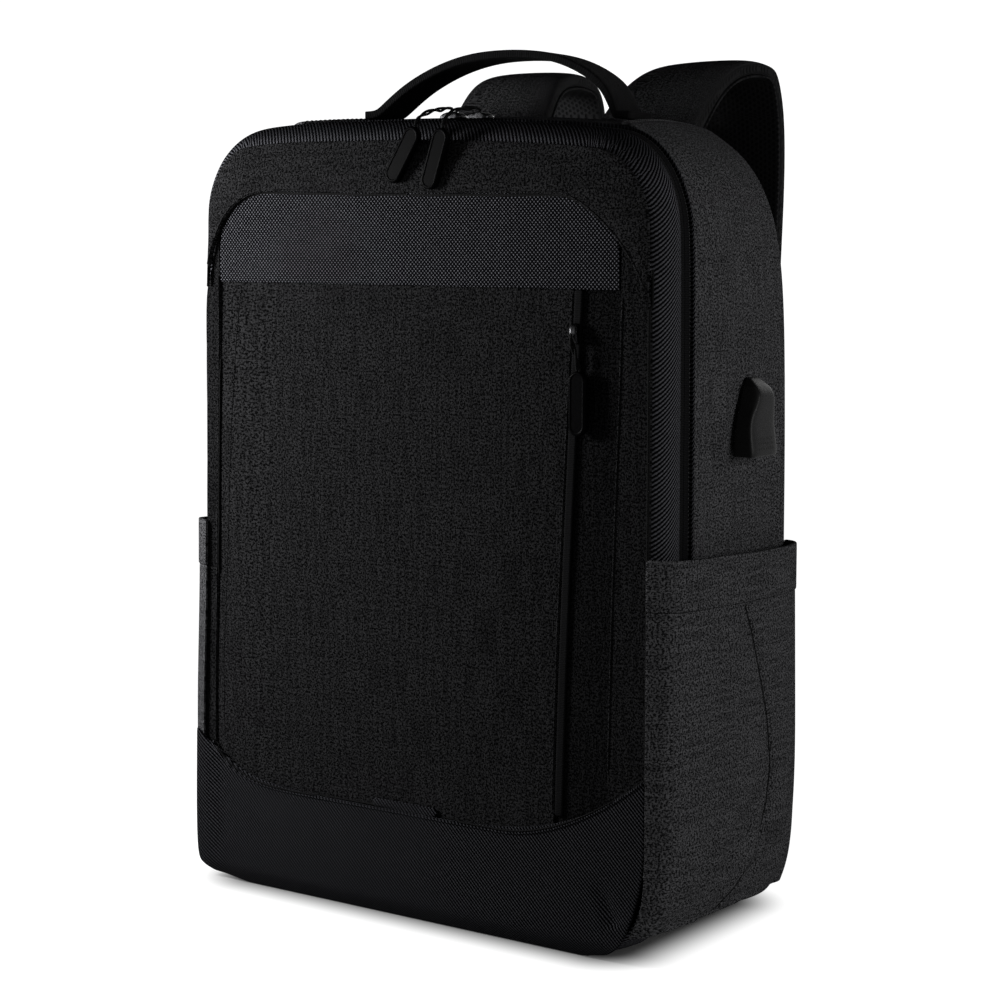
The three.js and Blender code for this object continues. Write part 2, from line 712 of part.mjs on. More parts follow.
// Rows along the arch: "across" is a share of half the span, "up" a share of the rise
const handleRows = [
  { across: -1.000, up: 0.00 },
  { across: -0.958, up: 0.07 },
  { across: -0.780, up: 0.40 },
  { across: -0.602, up: 0.63 },
  { across: -0.429, up: 0.80 },
  { across: -0.260, up: 0.91 },
  { across: -0.089, up: 0.98 },
  { across: 0.130, up: 1.01 },
  { across: 0.358, up: 1.00 },
  { across: 0.522, up: 0.94 },
  { across: 0.681, up: 0.82 },
  { across: 0.839, up: 0.62 },
  { across: 0.928, up: 0.42 },
  { across: 0.988, up: 0.14 },
  { across: 1.000, up: 0.00 },
];
const footShare = 1 + handleFoot / (handleSpan / 2);
const handleEnds = [{ across: -footShare, up: 0 }, ...handleRows, { across: footShare, up: 0 }];
const handleLine = handleEnds.map((row) => {
  const x = handleOffset + (handleSpan / 2) * row.across;
  return new THREE.Vector2(x, handleSeat(x) + handleThickness + handleRise * row.up);
});
const handleStops = handleLine.map((_, index) => index);
add("carry_handle", "webbing", shell((index, v, layer) => {
  const before = handleLine[Math.max(index - 1, 0)];
  const after = handleLine[Math.min(index + 1, handleLine.length - 1)];
  const along = after.clone().sub(before).normalize();
  const inner = layer * handleThickness;
  const { x, y: z } = handleLine[index];
  return new THREE.Vector3(x + along.y * inner, handleY + webbing * (v - 0.5), z - along.x * inner);
}, handleStops, [0, 1]));

// Shoulder straps: the line of the outer face from the root at the top of the back to the lower end.
// "behind" is a share of the reach behind the back, "up" a share of the rise from the lower end
// to the top, "aside" a share of the way from the root's place across to the end's, "wide" a share
// of the strap width, and "far" a share of the left strap's longer reach.
const strapRows = [
  { along: 0.00, behind: 0.020, up: 0.880, aside: 0.00, wide: 1.14, far: 0.00 },
  { along: 0.05, behind: 0.230, up: 0.948, aside: 0.08, wide: 1.07, far: 0.00 },
  { along: 0.11, behind: 0.460, up: 0.990, aside: 0.17, wide: 1.02, far: 0.00 },
  { along: 0.17, behind: 0.690, up: 1.000, aside: 0.26, wide: 1.00, far: 0.40 },
  { along: 0.23, behind: 0.880, up: 0.985, aside: 0.33, wide: 0.98, far: 0.85 },
  { along: 0.30, behind: 0.975, up: 0.915, aside: 0.37, wide: 0.96, far: 1.00 },
  { along: 0.40, behind: 1.000, up: 0.780, aside: 0.37, wide: 0.94, far: 1.00 },
  { along: 0.54, behind: 0.975, up: 0.630, aside: 0.36, wide: 0.92, far: 0.90 },
  { along: 0.68, behind: 0.880, up: 0.460, aside: 0.45, wide: 0.89, far: 0.70 },
  { along: 0.80, behind: 0.735, up: 0.280, aside: 0.62, wide: 0.85, far: 0.40 },
  { along: 0.91, behind: 0.545, up: 0.110, aside: 0.84, wide: 0.80, far: 0.10 },
  { along: 1.00, behind: 0.400, up: 0.000, aside: 1.00, wide: 0.70, far: 0.00 },
];
const strapRise = strapTop - strapEndUp;
const padEdge = [
  { across: 0.00, drop: 0.34 },
  { across: 0.08, drop: 0.08 },
  { across: 0.50, drop: 0.00 },
  { across: 0.92, drop: 0.08 },
  { across: 1.00, drop: 0.34 },
];

// The line of one strap's outer face, and the way out of it at each row
function strapCourse(side) {
  const points = strapRows.map((row) => {
    const z = strapEndUp + strapRise * row.up;
    const rooted = row.along === 0 ? strapRootUp : z;
    const aside = mix(strapRootX, strapEndX, row.aside);
    const behind = strapReach * row.behind + (side < 0 ? leftReach * row.far : 0);
    return new THREE.Vector3(aside, back + clearance + behind, rooted);
  });
  const normals = points.map((point, index) => {
    const before = points[Math.max(index - 1, 0)];
    const after = points[Math.min(index + 1, points.length - 1)];
    const along = new THREE.Vector3(0, after.y - before.y, after.z - before.z).normalize();
    return new THREE.Vector3(1, 0, 0).cross(along);
  });
  return { points, normals };
}
const strapStops = strapRows.map((_, index) => index);

function strapShell(side, outer, inner, crowned) {
  const { points, normals } = strapCourse(side);
  return shell((edge, index, layer) => {
    const row = strapRows[index];
    const point = points[index].clone();
    const splay = side < 0 ? leftSplay * (1 - row.aside) : 0;
    point.x += splay + strapWidth * row.wide * (edge.across - 0.5);
    const drop = crowned && layer === 0 ? edge.drop * (inner - outer) : 0;
    point.addScaledVector(normals[index], -(layer === 0 ? outer : inner) - drop);
    point.x *= side;
    return point;
  }, padEdge, strapStops);
}
for (const { name, side } of sides) {
  const under = padThickness + clearance;
  add(`strap_pad_${name}`, "heather", strapShell(side, 0, padThickness, true));
  add(`strap_mesh_${name}`, "mesh", strapShell(side, under, under + meshThickness, false));
}

// Lower strap on each side: a ladder lock at the pad's end, webbing threaded through it,
// and a cloth tab sewn into the lower corner of the back
const { points: strapPoints, normals: strapNormals } = strapCourse(1);
const padEnd = strapPoints[strapPoints.length - 1].clone();
padEnd.addScaledVector(strapNormals[strapNormals.length - 1], -padThickness / 2);
const anchorSeat = back + backCrown * 0.4 + clearance;
const anchor = new THREE.Vector3(anchorX, anchorSeat + foldedCloth / 2, anchorUp);
const strapAlong = padEnd.clone().sub(anchor).normalize();
const strapOut = new THREE.Vector3(1, 0, 0).cross(strapAlong).negate().normalize();
const strapAside = strapAlong.clone().cross(strapOut).normalize();
const lockHeight = 3 * lockBar + 2 * lockSlot;
const lockWidth = webbing + 2 * lockBar + 2;
const lockDrop = lockHeight / 2 + (lockWidth / 2) * Math.abs(strapAlong.x) + clearance;
const lockMiddle = padEnd.clone().addScaledVector(strapAlong, -lockDrop);

function lockFrame(side) {
  const outline = new THREE.Shape();
  outline.moveTo(-lockWidth / 2, -lockHeight / 2);
  outline.lineTo(lockWidth / 2, -lockHeight / 2);
  outline.lineTo(lockWidth / 2, lockHeight / 2);
  outline.lineTo(-lockWidth / 2, lockHeight / 2);
  outline.closePath();
  for (const rise of [-1, 1]) {
    const middle = rise * (lockBar + lockSlot) / 2;
    const slot = new THREE.Path();
    slot.moveTo(-lockWidth / 2 + lockBar, middle - lockSlot / 2);
    slot.lineTo(-lockWidth / 2 + lockBar, middle + lockSlot / 2);
    slot.lineTo(lockWidth / 2 - lockBar, middle + lockSlot / 2);
    slot.lineTo(lockWidth / 2 - lockBar, middle - lockSlot / 2);
    slot.closePath();
    outline.holes.push(slot);
  }
  const geometry = new THREE.ExtrudeGeometry(outline, { depth: lockThickness, bevelEnabled: false });
  geometry.translate(0, 0, -lockThickness / 2);
  return placed(geometry, side);
}

// Moves a shape from the lock's own axes to its place; the left one is the mirror image
function placed(geometry, side) {
  const frame = new THREE.Matrix4().makeBasis(strapAside, strapAlong, strapOut);
  frame.setPosition(lockMiddle);
  geometry.applyMatrix4(frame);
  if (side > 0) return geometry;
  geometry.scale(-1, 1, 1);
  const flat = geometry.index ? geometry.toNonIndexed() : geometry;
  const place = flat.getAttribute("position");
  const positions = Array.from(place.array);
  const order = Array.from({ length: place.count }, (_, index) => index);
  return outward(positions, order);
}

// The webbing's path beside the lock: "along" the strap in bar and slot lengths, "out" of its plane
const wrap = lockThickness / 2 + strapWebbing / 2 + clearance * 2;
const threadSlot = (lockBar + lockSlot) / 2;
const slotEntry = lockHeight / 2 - lockBar - strapWebbing * 0.7;
const tabTop = tabSize * 0.3;
const tabReach = tabTop + (webbing / 2) * Math.abs(strapAlong.x) + clearance * 2;
const lowerRun = lockMiddle.distanceTo(anchor) - tabReach;
const webbingPath = [
  [-lowerRun, -wrap],
  [-lockHeight / 2, -wrap],
  [-slotEntry, -wrap],
  [-threadSlot, 0],
  [-lockBar / 2, wrap],
  [lockBar / 2, wrap],
  [threadSlot, 0],
  [slotEntry, -wrap],
  [lockHeight / 2, -wrap],
];
function webbingStrip(side) {
  const normals = webbingPath.map((_, index) => {
    const before = webbingPath[Math.max(index - 1, 0)];
    const after = webbingPath[Math.min(index + 1, webbingPath.length - 1)];
    const run = new THREE.Vector2(after[0] - before[0], after[1] - before[1]).normalize();
    return [-run.y, run.x];
  });
  const strip = shell((index, v, layer) => {
    const [along, out] = webbingPath[index];
    const [nAlong, nOut] = normals[index];
    const offset = strapWebbing * (0.5 - layer);
    return new THREE.Vector3(webbing * (v - 0.5), along + nAlong * offset, out + nOut * offset);
  }, webbingPath.map((_, index) => index), [0, 1]);
  return placed(strip, side);
}

function anchorTab(side) {
  const tab = new THREE.Shape();
  tab.moveTo(-tabSize / 2, -tabSize * 0.7);
  tab.lineTo(tabSize / 2, -tabSize * 0.7);
  tab.lineTo(webbing / 2, tabTop);
  tab.lineTo(-webbing / 2, tabTop);
  tab.closePath();
  const geometry = new THREE.ExtrudeGeometry(tab, { depth: foldedCloth, bevelEnabled: false });
  geometry.rotateX(quarter);
  geometry.translate(side * anchorX, anchorSeat + foldedCloth, anchorUp);
  return geometry;
}
for (const { name, side } of sides) {
  add(`ladder_lock_${name}`, "plastic", lockFrame(side));
  add(`strap_webbing_${name}`, "webbing", webbingStrip(side));
  add(`strap_tab_${name}`, "heather", anchorTab(side));
}

// A cord of round section along hand-placed points
function cord(points) {
  const path = new THREE.CatmullRomCurve3(points.map((point) => new THREE.Vector3(...point)));
  const section = new THREE.Shape();
  section.absarc(0, 0, cordDiameter / 2, 0, Math.PI * 2, false);
  return new THREE.ExtrudeGeometry(section, {
    steps: 10,
    extrudePath: path,
    curveSegments: 4,
    bevelEnabled: false,
  });
}

// A moulded pull tab with round ends, hanging down from its upper end at the origin
function pullTab(length) {
  const radius = pullWidth / 2;
  const tab = new THREE.Shape();
  tab.absarc(0, -radius, radius, 0, Math.PI, false);
  tab.absarc(0, radius - length, radius, Math.PI, Math.PI * 2, false);
  tab.closePath();
  const geometry = new THREE.ExtrudeGeometry(tab, {
    depth: pullThickness - 2 * pullEase,
    bevelEnabled: true,
    bevelThickness: pullEase,
    bevelSize: pullEase,
    bevelOffset: -pullEase,
    bevelSegments: 1,
    curveSegments: 6,
  });
  geometry.rotateX(quarter);
  geometry.translate(0, pullThickness / 2 - pullEase, 0);
  return geometry;
}

// A slider: a low body with a raised bridge for the cord, its length along X
function slider(length, width, height) {
  const long = length / 2;
  const profile = new THREE.Shape();
  profile.moveTo(-long, 0);
  profile.lineTo(long, 0);
  profile.lineTo(long, height * 0.45);
  profile.lineTo(long * 0.5, height);
  profile.lineTo(-long * 0.5, height);
  profile.lineTo(-long, height * 0.45);
  profile.closePath();
  const geometry = new THREE.ExtrudeGeometry(profile, { depth: width, bevelEnabled: false });
  geometry.rotateX(quarter);
  geometry.translate(0, width / 2, 0);
  return geometry;
}

const zipTop = skin(1, 4, zipMiddle + sliderWidth / 2, tapeSet).z;
const bandCrest = skin(1, 4, mix(bandFront, bandBack, 0.5), -bandRoll).z;
const hangY = yokeFace - yokeRoll - clearance - pullThickness / 2;

// The two main pulls: slider on the zip, cord over the band, tab hanging in front of the yoke.
// Lean is how far the tab's lower end swings to the left, in degrees.
const mainPulls = [
  { name: "left", x: sliderMiddle - sliderGap / 2, drop: -5, lean: 33 },
  { name: "right", x: sliderMiddle + sliderGap / 2, drop: -6, lean: 19 },
];
for (const pull of mainPulls) {
  const seat = zipTop + clearance - slump * ((pull.x - sliderLength / 2) / halfWidth);
  const carrier = add(`main_slider_${pull.name}`, "metal", slider(sliderLength, sliderWidth, sliderHeight));
  carrier.position.set(pull.x, zipMiddle, seat);
  const hangX = pull.x + pullShift;
  const over = bandCrest + cordDiameter;
  const hangZ = bandCrest + pull.drop;
  const route = [
    [pull.x, zipMiddle - 1, seat + sliderHeight + clearance + cordDiameter / 2],
    [mix(pull.x, hangX, 0.2), bandBack - 2, over + 4],
    [mix(pull.x, hangX, 0.6), mix(bandFront, bandBack, 0.4), over + 3],
    [hangX, front - 2, over - 1],
    [hangX, hangY, hangZ + cordDiameter * 1.4],
    [hangX, hangY, hangZ + cordDiameter * 0.5],
  ];
  add(`main_cord_${pull.name}`, "webbing", cord(route));
  const tab = add(`main_pull_${pull.name}`, "rubber", pullTab(pullLength));
  tab.position.set(hangX, hangY, hangZ);
  tab.rotation.y = THREE.MathUtils.degToRad(pull.lean);
}

// Front pocket zip in the recess beside the pocket panel, with its slider, cord and tab
add("front_zip", "zip", shell((u, v, layer) => {
  const z = mix(bootUp + bootSweeps.right.rise * 0.3, facingBottom, v);
  const x = foldAt("pocketRight", z) + clearance + frontTape * u;
  const point = settle(x, 0, z);
  point.y = layer === 0 ? panelFace : panelBack;
  return point;
}, [0, 1], steps(6)));

const frontSliderUp = frontPullUp + frontPullLength;
const recessX = foldAt("pocketRight", frontSliderUp) + clearance + frontTape / 2;
const frontSliderShape = slider(frontSliderLength, frontSliderWidth, frontSliderHeight);
const frontSlider = add("front_slider", "metal", frontSliderShape);
const laid = new THREE.Matrix4().makeRotationX(quarter);
laid.multiply(new THREE.Matrix4().makeRotationZ(quarter));
frontSliderShape.applyMatrix4(laid);
frontSlider.position.set(recessX, panelFace - clearance, frontSliderUp);
const frontCordY = panelFace - clearance * 2 - frontSliderHeight - cordDiameter / 2;

const frontHangX = recessX + pullWidth * 0.3;
const frontHangY = panelFace - clearance * 2 - pullThickness / 2;
const frontHangZ = frontPullUp + frontPullLength / 2;
add("front_cord", "webbing", cord([
  [recessX, frontCordY, frontSliderUp],
  [recessX, frontCordY, mix(frontSliderUp, frontHangZ, 0.4)],
  [frontHangX, frontHangY, frontHangZ + cordDiameter * 1.4],
  [frontHangX, frontHangY, frontHangZ + clearance],
]));
const frontTab = add("front_pull", "rubber", pullTab(frontPullLength));
frontTab.position.set(frontHangX, frontHangY, frontHangZ);

export default bag;
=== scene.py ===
import math

import bmesh
import bpy
import numpy as np
from mathutils import Matrix, Vector, noise
from mathutils.bvhtree import BVHTree


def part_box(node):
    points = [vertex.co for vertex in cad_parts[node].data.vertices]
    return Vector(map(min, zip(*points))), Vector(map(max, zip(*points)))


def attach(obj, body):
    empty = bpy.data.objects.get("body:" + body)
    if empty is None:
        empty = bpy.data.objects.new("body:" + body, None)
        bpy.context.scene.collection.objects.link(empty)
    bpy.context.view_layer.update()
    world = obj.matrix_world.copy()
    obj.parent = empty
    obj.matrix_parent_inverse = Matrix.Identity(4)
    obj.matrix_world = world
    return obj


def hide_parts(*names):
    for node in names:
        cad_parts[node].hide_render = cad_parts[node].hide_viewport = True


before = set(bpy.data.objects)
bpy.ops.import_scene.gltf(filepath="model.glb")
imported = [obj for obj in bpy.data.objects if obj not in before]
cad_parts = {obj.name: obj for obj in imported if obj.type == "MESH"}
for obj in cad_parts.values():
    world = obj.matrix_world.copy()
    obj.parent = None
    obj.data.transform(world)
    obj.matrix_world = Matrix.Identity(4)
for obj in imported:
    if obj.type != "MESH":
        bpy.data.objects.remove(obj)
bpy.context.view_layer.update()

# ---------------------------------------------------------------------------
# Camera, from the bag's front right and a little above its middle.
# ---------------------------------------------------------------------------
camera = bpy.data.objects.new("camera", bpy.data.cameras.new("camera"))
camera.data.lens = 77.4
camera.data.sensor_width = 36
camera.location = (0.7153, -0.9829, 0.3524)
view_middle = Vector((0.0052, 0.0, 0.2268))
camera.rotation_mode = "QUATERNION"
camera.rotation_quaternion = (view_middle - camera.location).to_track_quat("-Z", "Y")
bpy.context.collection.objects.link(camera)
bpy.context.scene.camera = camera
bpy.context.scene.view_settings.view_transform = "Standard"

# ---------------------------------------------------------------------------
# Studio: a white floor that runs into a white wall of light all round, dim
# overhead, with soft lamps at the left of the front, at the right and behind.
# ---------------------------------------------------------------------------
lamps = [
    {"name": "lamp_left", "place": (-0.41, -0.35, 0.40), "size": 0.16, "watts": 18.0},
    {"name": "lamp_right", "place": (1.3, 0.10, 0.50), "size": 0.5, "watts": 24},
    {"name": "lamp_behind", "place": (0.1, 1.3, 0.9), "size": 0.8, "watts": 6},
]
lamps_aim = Vector((0, 0, 0.25))
for row in lamps:
    lamp = bpy.data.objects.new(row["name"], bpy.data.lights.new(row["name"], "AREA"))
    lamp.data.size = row["size"]
    lamp.data.energy = row["watts"]
    lamp.location = row["place"]
    lamp.rotation_mode = "QUATERNION"
    lamp.rotation_quaternion = (lamps_aim - lamp.location).to_track_quat("-Z", "Y")
    bpy.context.collection.objects.link(lamp)


class Value:
    """A number that varies over a surface. Operators on it add the Math nodes."""

    def __init__(self, nodes, socket):
        self.nodes = nodes
        self.socket = socket

    def math(self, operation, *terms):
        return self.nodes.node("ShaderNodeMath", {"operation": operation}, dict(enumerate(terms)))

    def __add__(self, other):
        return self.math("ADD", self, other)

    __radd__ = __add__

    def __sub__(self, other):
        return self.math("SUBTRACT", self, other)

    def __rsub__(self, other):
        return self.math("SUBTRACT", other, self)

    def __mul__(self, other):
        return self.math("MULTIPLY", self, other)

    __rmul__ = __mul__

    def __truediv__(self, other):
        return self.math("DIVIDE", self, other)

    def __abs__(self):
        return self.math("ABSOLUTE", self)

    def sine(self):
        return self.math("SINE", self)

    def fraction(self):
        return self.math("FRACT", self)

    def between(self, low, high):
        return self.nodes.node(
            "ShaderNodeMapRange",
            {"interpolation_type": "SMOOTHSTEP"},
            {"Value": self, "From Min": low, "From Max": high},
        )


class Nodes:
    """The nodes of one material or of the room's light."""

    def __init__(self, tree):
        self.tree = tree

    def node(self, kind, settings, sockets, output=0):
        made = self.tree.nodes.new(kind)
        for key, value in settings.items():
            setattr(made, key, value)
        for key, value in sockets.items():
            self.feed(made.inputs[key], value)
        return Value(self, made.outputs[output])

    def feed(self, socket, value):
        if isinstance(value, Value):
            self.tree.links.new(value.socket, socket)
        else:
            socket.default_value = value


class Finish(Nodes):
    """One procedural material. Constants go straight onto the surface's own sockets."""

    def __init__(self, name, constants):
        self.material = bpy.data.materials.new(name)
        self.material.use_nodes = True
        super().__init__(self.material.node_tree)
        self.surface = self.tree.nodes["Principled BSDF"]
        for socket, value in constants.items():
            self.surface.inputs[socket].default_value = value

    def show(self, sockets):
        for key, value in sockets.items():
            self.feed(self.surface.inputs[key], value)

    def cloth_place(self):
        """Distance across the cloth and along it, in metres, and painted shade, from 0 to 1."""
        place = self.node("ShaderNodeAttribute", {"attribute_name": "weave"}, {}, "Vector")
        return [self.node("ShaderNodeSeparateXYZ", {}, {0: place}, axis) for axis in (0, 1, 2)]

    def solid_place(self):
        return self.node("ShaderNodeTexCoord", {}, {}, "Object")

    def speckle(self, across, along, detail=1.0, seed=0.0):
        """Noise whose grains are one unit wide each way."""
        spot = self.node("ShaderNodeCombineXYZ", {}, {0: across, 1: along, 2: seed})
        return self.node("ShaderNodeTexNoise", {}, {"Vector": spot, "Scale": 1.0, "Detail": detail})

    def cloud(self, grain, detail=2.0):
        """Noise through space, grain metres wide."""
        return self.node(
            "ShaderNodeTexNoise", {}, {"Vector": self.solid_place(), "Scale": 1 / grain, "Detail": detail}
        )

    def blend(self, share, first, second):
        return self.node("ShaderNodeMix", {"data_type": "RGBA"}, {0: share, 6: first, 7: second}, 2)

    def mottled(self, grain, first, second):
        """Drifts from one colour to the other and back, in clouds grain metres wide."""
        return self.blend(self.cloud(grain), (*first, 1), (*second, 1))

    def raised(self, height, strength, distance):
        sockets = {"Height": height, "Strength": strength, "Distance": distance}
        return self.node("ShaderNodeBump", {}, sockets)


room = bpy.data.worlds.new("white_room")
room.use_nodes = True
room_light = Nodes(room.node_tree)
skyward = room_light.node("ShaderNodeTexCoord", {}, {}, "Generated")
height = room_light.node("ShaderNodeSeparateXYZ", {}, {0: skyward}, 2)
background = room.node_tree.nodes["Background"]
background.inputs["Color"].default_value = (1, 1, 1, 1)
wall_light = 1.1
lost_overhead = 1.04
room_light.feed(background.inputs["Strength"], wall_light - height.between(0.13, 0.28) * lost_overhead)
bpy.context.scene.world = room

# The floor gives out light evenly, so it shows as white as the wall. Close round the bag's foot it gives
# out less,
# fading to none: a painted contact shadow, the soft dark line of a bag that stands on the ground.
foot_middle = (-0.006, 0.0)
foot_half = (0.118, 0.052)
shade_from, shade_to = 0.014, 0.050
floor_finish = Finish("pale_floor", {"Roughness": 1.0, "Specular IOR Level": 0.0, "Emission Strength": 1.0})
beyond = []
for axis in (0, 1):
    part = floor_finish.node("ShaderNodeSeparateXYZ", {}, {0: floor_finish.solid_place()}, axis)
    outside = abs(part - foot_middle[axis]) - foot_half[axis]
    beyond.append(outside.math("MAXIMUM", outside, 0.0))
squared = beyond[0] * beyond[0] + beyond[1] * beyond[1]
glow_past_painted_shadow = squared.math("SQRT", squared).between(shade_from, shade_to)
# Painted contact shadow: the floor's emission falls to black near the foot.
floor_finish.show({
    "Base Color": floor_finish.mottled(0.3, (0.055, 0.055, 0.055), (0.06, 0.06, 0.06)),
    "Emission Color": floor_finish.blend(glow_past_painted_shadow, (0.0, 0.0, 0.0, 1), (1.02, 1.02, 1.02, 1)),
})
floor_shape = bmesh.new()
bmesh.ops.create_grid(floor_shape, x_segments=4, y_segments=4, size=6)
floor_mesh = bpy.data.meshes.new("floor")
floor_shape.to_mesh(floor_mesh)
floor_shape.free()
floor = bpy.data.objects.new("floor", floor_mesh)
floor.data.materials.append(floor_finish.material)
bpy.context.collection.objects.link(floor)

# ---------------------------------------------------------------------------
# Gussets: the sides and top of the bag, cut from polyester woven of dark and
# lighter yarns. Each side laps over the top with a lip stitched down twice.
# ---------------------------------------------------------------------------
MM = 0.001
HALF_WIDTH = 0.153
BODY_TOP = 0.443


def heather_finish(name, shade, grain=0.85 * MM, streak=0.35):
    """Plain weave of mixed fine yarns. Shade is how light it is: the cloth's own tone together with painted
    light, set part by part; streak is how much the yarns stand out.
    """
    cloth = Finish(name, {"Roughness": 0.95, "Specular IOR Level": 0.0})
    across, along, painted_shade = cloth.cloth_place()
    yarn = cloth.speckle(across / grain, along / (1.5 * grain), 1.0)
    crossing = cloth.speckle(across / (1.9 * grain), along / grain, 1.0, 7.0)
    tone = (yarn * 0.6 + crossing * 0.4).between(0.41, 0.59)
    upright = cloth.speckle(across / 0.0022, along / 0.030, 1.0, 3.0).between(0.35, 0.65)
    level = cloth.speckle(across / 0.030, along / 0.0022, 1.0, 5.0).between(0.35, 0.65)
    streaks = upright * streak + level * (streak * 0.5) + (1 - streak)
    # The third weave value is painted shade; it darkens the cloth.
    share = (tone * 0.93 + 0.07) * streaks * (1 - painted_shade)
    dark = (0.0006 * shade, 0.0006 * shade, 0.00066 * shade, 1)
    light = (0.0220 * shade, 0.0220 * shade, 0.0230 * shade, 1)
    cloth.show({
        "Base Color": cloth.blend(share, dark, light),
        "Normal": cloth.raised(tone, 0.5, 0.25 * MM),
    })
    return cloth.material


# The heather copies differ only in shade, and the difference is painted light: the sides, which the light
# from the right falls on, are made much lighter than the front.
heather = heather_finish("heather_cloth", 0.26)
side_heather = heather_finish("side_heather_cloth", 0.95)
pieces = []


def sewn(node, slot, material, levels=3, crease=0.9):
    """A smooth copy of a packed panel, which stands for it."""
    shape = bmesh.new()
    shape.from_mesh(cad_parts[node].data)
    bmesh.ops.remove_doubles(shape, verts=shape.verts, dist=0.01 * MM)
    bmesh.ops.join_triangles(
        shape, faces=shape.faces, angle_face_threshold=0.9, angle_shape_threshold=math.pi
    )
    creases = shape.edges.layers.float.new("crease_edge")
    for edge in shape.edges:
        if edge.calc_face_angle(0) > math.radians(50):
            edge[creases] = crease
    rough = bpy.data.meshes.new("rough_" + node)
    shape.to_mesh(rough)
    shape.free()
    piece = bpy.data.objects.new("sewn_" + node, rough)
    bpy.context.collection.objects.link(piece)
    smooth = piece.modifiers.new("smooth", "SUBSURF")
    smooth.levels = smooth.render_levels = levels
    smooth.boundary_smooth = "PRESERVE_CORNERS"
    graph = bpy.context.evaluated_depsgraph_get()
    piece.data = bpy.data.meshes.new_from_object(piece.evaluated_get(graph))
    piece.modifiers.clear()
    return settled(piece, node, slot, material)


def settled(piece, node, slot, material):
    """Gives a finished piece its smooth shading, its material and its place in the frame."""
    pieces.append(piece)
    piece.data.polygons.foreach_set("use_smooth", [True] * len(piece.data.polygons))
    piece.data.materials.clear()
    piece.data.materials.append(material)
    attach(piece, "root")
    if node:
        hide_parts(node)
    return piece


def points_of(piece):
    co = np.empty(len(piece.data.vertices) * 3)
    piece.data.vertices.foreach_get("co", co)
    return co.reshape(-1, 3)


def weave(piece, across, along, painted_shade=0.0):
    """Keeps on each point how far it lies across the cloth and along it, and how much painted shade darkens
    it.
    """
    attribute = piece.data.attributes.new("weave", "FLOAT_VECTOR", "POINT")
    values = np.zeros((len(piece.data.vertices), 3), np.float32)
    values[:, 0] = across
    values[:, 1] = along
    values[:, 2] = painted_shade
    attribute.data.foreach_set("vector", values.ravel())


def upright_weave(piece):
    """The weave of a panel that hangs facing forward or back."""
    place = points_of(piece)
    weave(piece, place[:, 0], place[:, 2])


def drape(piece, move):
    """Moves each point of a finished mesh by what move gives for its place."""
    for vertex in piece.data.vertices:
        vertex.co += Vector(move(vertex.co))
    piece.data.update()


def ease(value, low, high):
    share = min(1.0, max(0.0, (value - low) / (high - low)))
    return share * share * (3 - 2 * share)


def run_along(line, points):
    """Distance along a line, of the place on it nearest to each point. Both are flat."""
    line = np.array(line)
    starts, steps = line[:-1], np.diff(line, axis=0)
    lengths = np.linalg.norm(steps, axis=1)
    before = np.concatenate([[0], np.cumsum(lengths)[:-1]])
    best = np.full(len(points), 1e9)
    run = np.zeros(len(points))
    for start, step, length, done in zip(starts, steps, lengths, before):
        share = np.clip((points - start) @ step / length**2, 0, 1)
        gap = np.linalg.norm(points - start - share[:, None] * step, axis=1)
        nearer = gap < best
        best[nearer] = gap[nearer]
        run[nearer] = done + share[nearer] * length
    return run


def round_line(half, top, across, down, low=0.0):
    """The bag's outline from the front: up one side, over the corners and the top, and down the other."""
    right = [(half, low), (half, top - down)]
    for degrees in range(10, 90, 10):
        turn = math.radians(degrees)
        right.append((half - across + across * math.cos(turn), top - down + down * math.sin(turn)))
    right.append((half - across, top))
    return [(-x, z) for x, z in right] + right[::-1]


gusset_line = round_line(HALF_WIDTH, 0.441, 0.065, 0.110)


def soft_side(place):
    """Shallow upright folds in the sides, deepest half way back, and a hollow above the pocket."""
    side = 1 if place.x > 0 else -1
    if abs(place.x) < 0.09:
        return (0, 0, 0)
    hold = ease(place.y, -0.034, -0.012) * (1 - ease(place.y, 0.055, 0.074))
    hold *= 1 - ease(place.z, 0.392, 0.437)
    fold = noise.noise(Vector((place.y * 26, side * 3.1, place.z * 5.5 - place.y * 6)))
    fold += 0.5 * noise.noise(Vector((place.y * 60, side * 1.7, place.z * 14)))
    ridge = math.exp(-(((place.y + 0.004 + (place.z - 0.307) * 0.06) / 0.012) ** 2))
    ridge *= ease(place.z, 0.207, 0.287)
    hollow = ease(place.z, 0.317, 0.207) * 0.0022
    return (side * hold * (0.0016 * fold + 0.0012 * ridge - hollow), 0, 0)


gussets = {}
for node in ("side_gusset_left", "side_gusset_right", "top_gusset"):
    panel = sewn(node, "heather", side_heather)
    place = points_of(panel)
    weave(panel, place[:, 1], run_along(gusset_line, place[:, [0, 2]]))
    if node != "top_gusset":
        drape(panel, soft_side)
    gussets[node] = panel

thread_finish = Finish("thread", {"Roughness": 0.7, "Specular IOR Level": 0.08})
thread_finish.show({
    "Base Color": thread_finish.mottled(0.002, (0.004, 0.004, 0.0042), (0.020, 0.020, 0.0205)),
})
dark_thread_finish = Finish("dark_thread", {"Roughness": 0.8, "Specular IOR Level": 0.04})
dark_thread_finish.show({
    "Base Color": dark_thread_finish.mottled(0.002, (0.0015, 0.0015, 0.0016), (0.010, 0.010, 0.0105)),
})

stitch_shape = bmesh.new()
bmesh.ops.create_icosphere(stitch_shape, subdivisions=1, radius=0.5)
one_stitch = bpy.data.meshes.new("one_stitch")
stitch_shape.to_mesh(one_stitch)
stitch_shape.free()


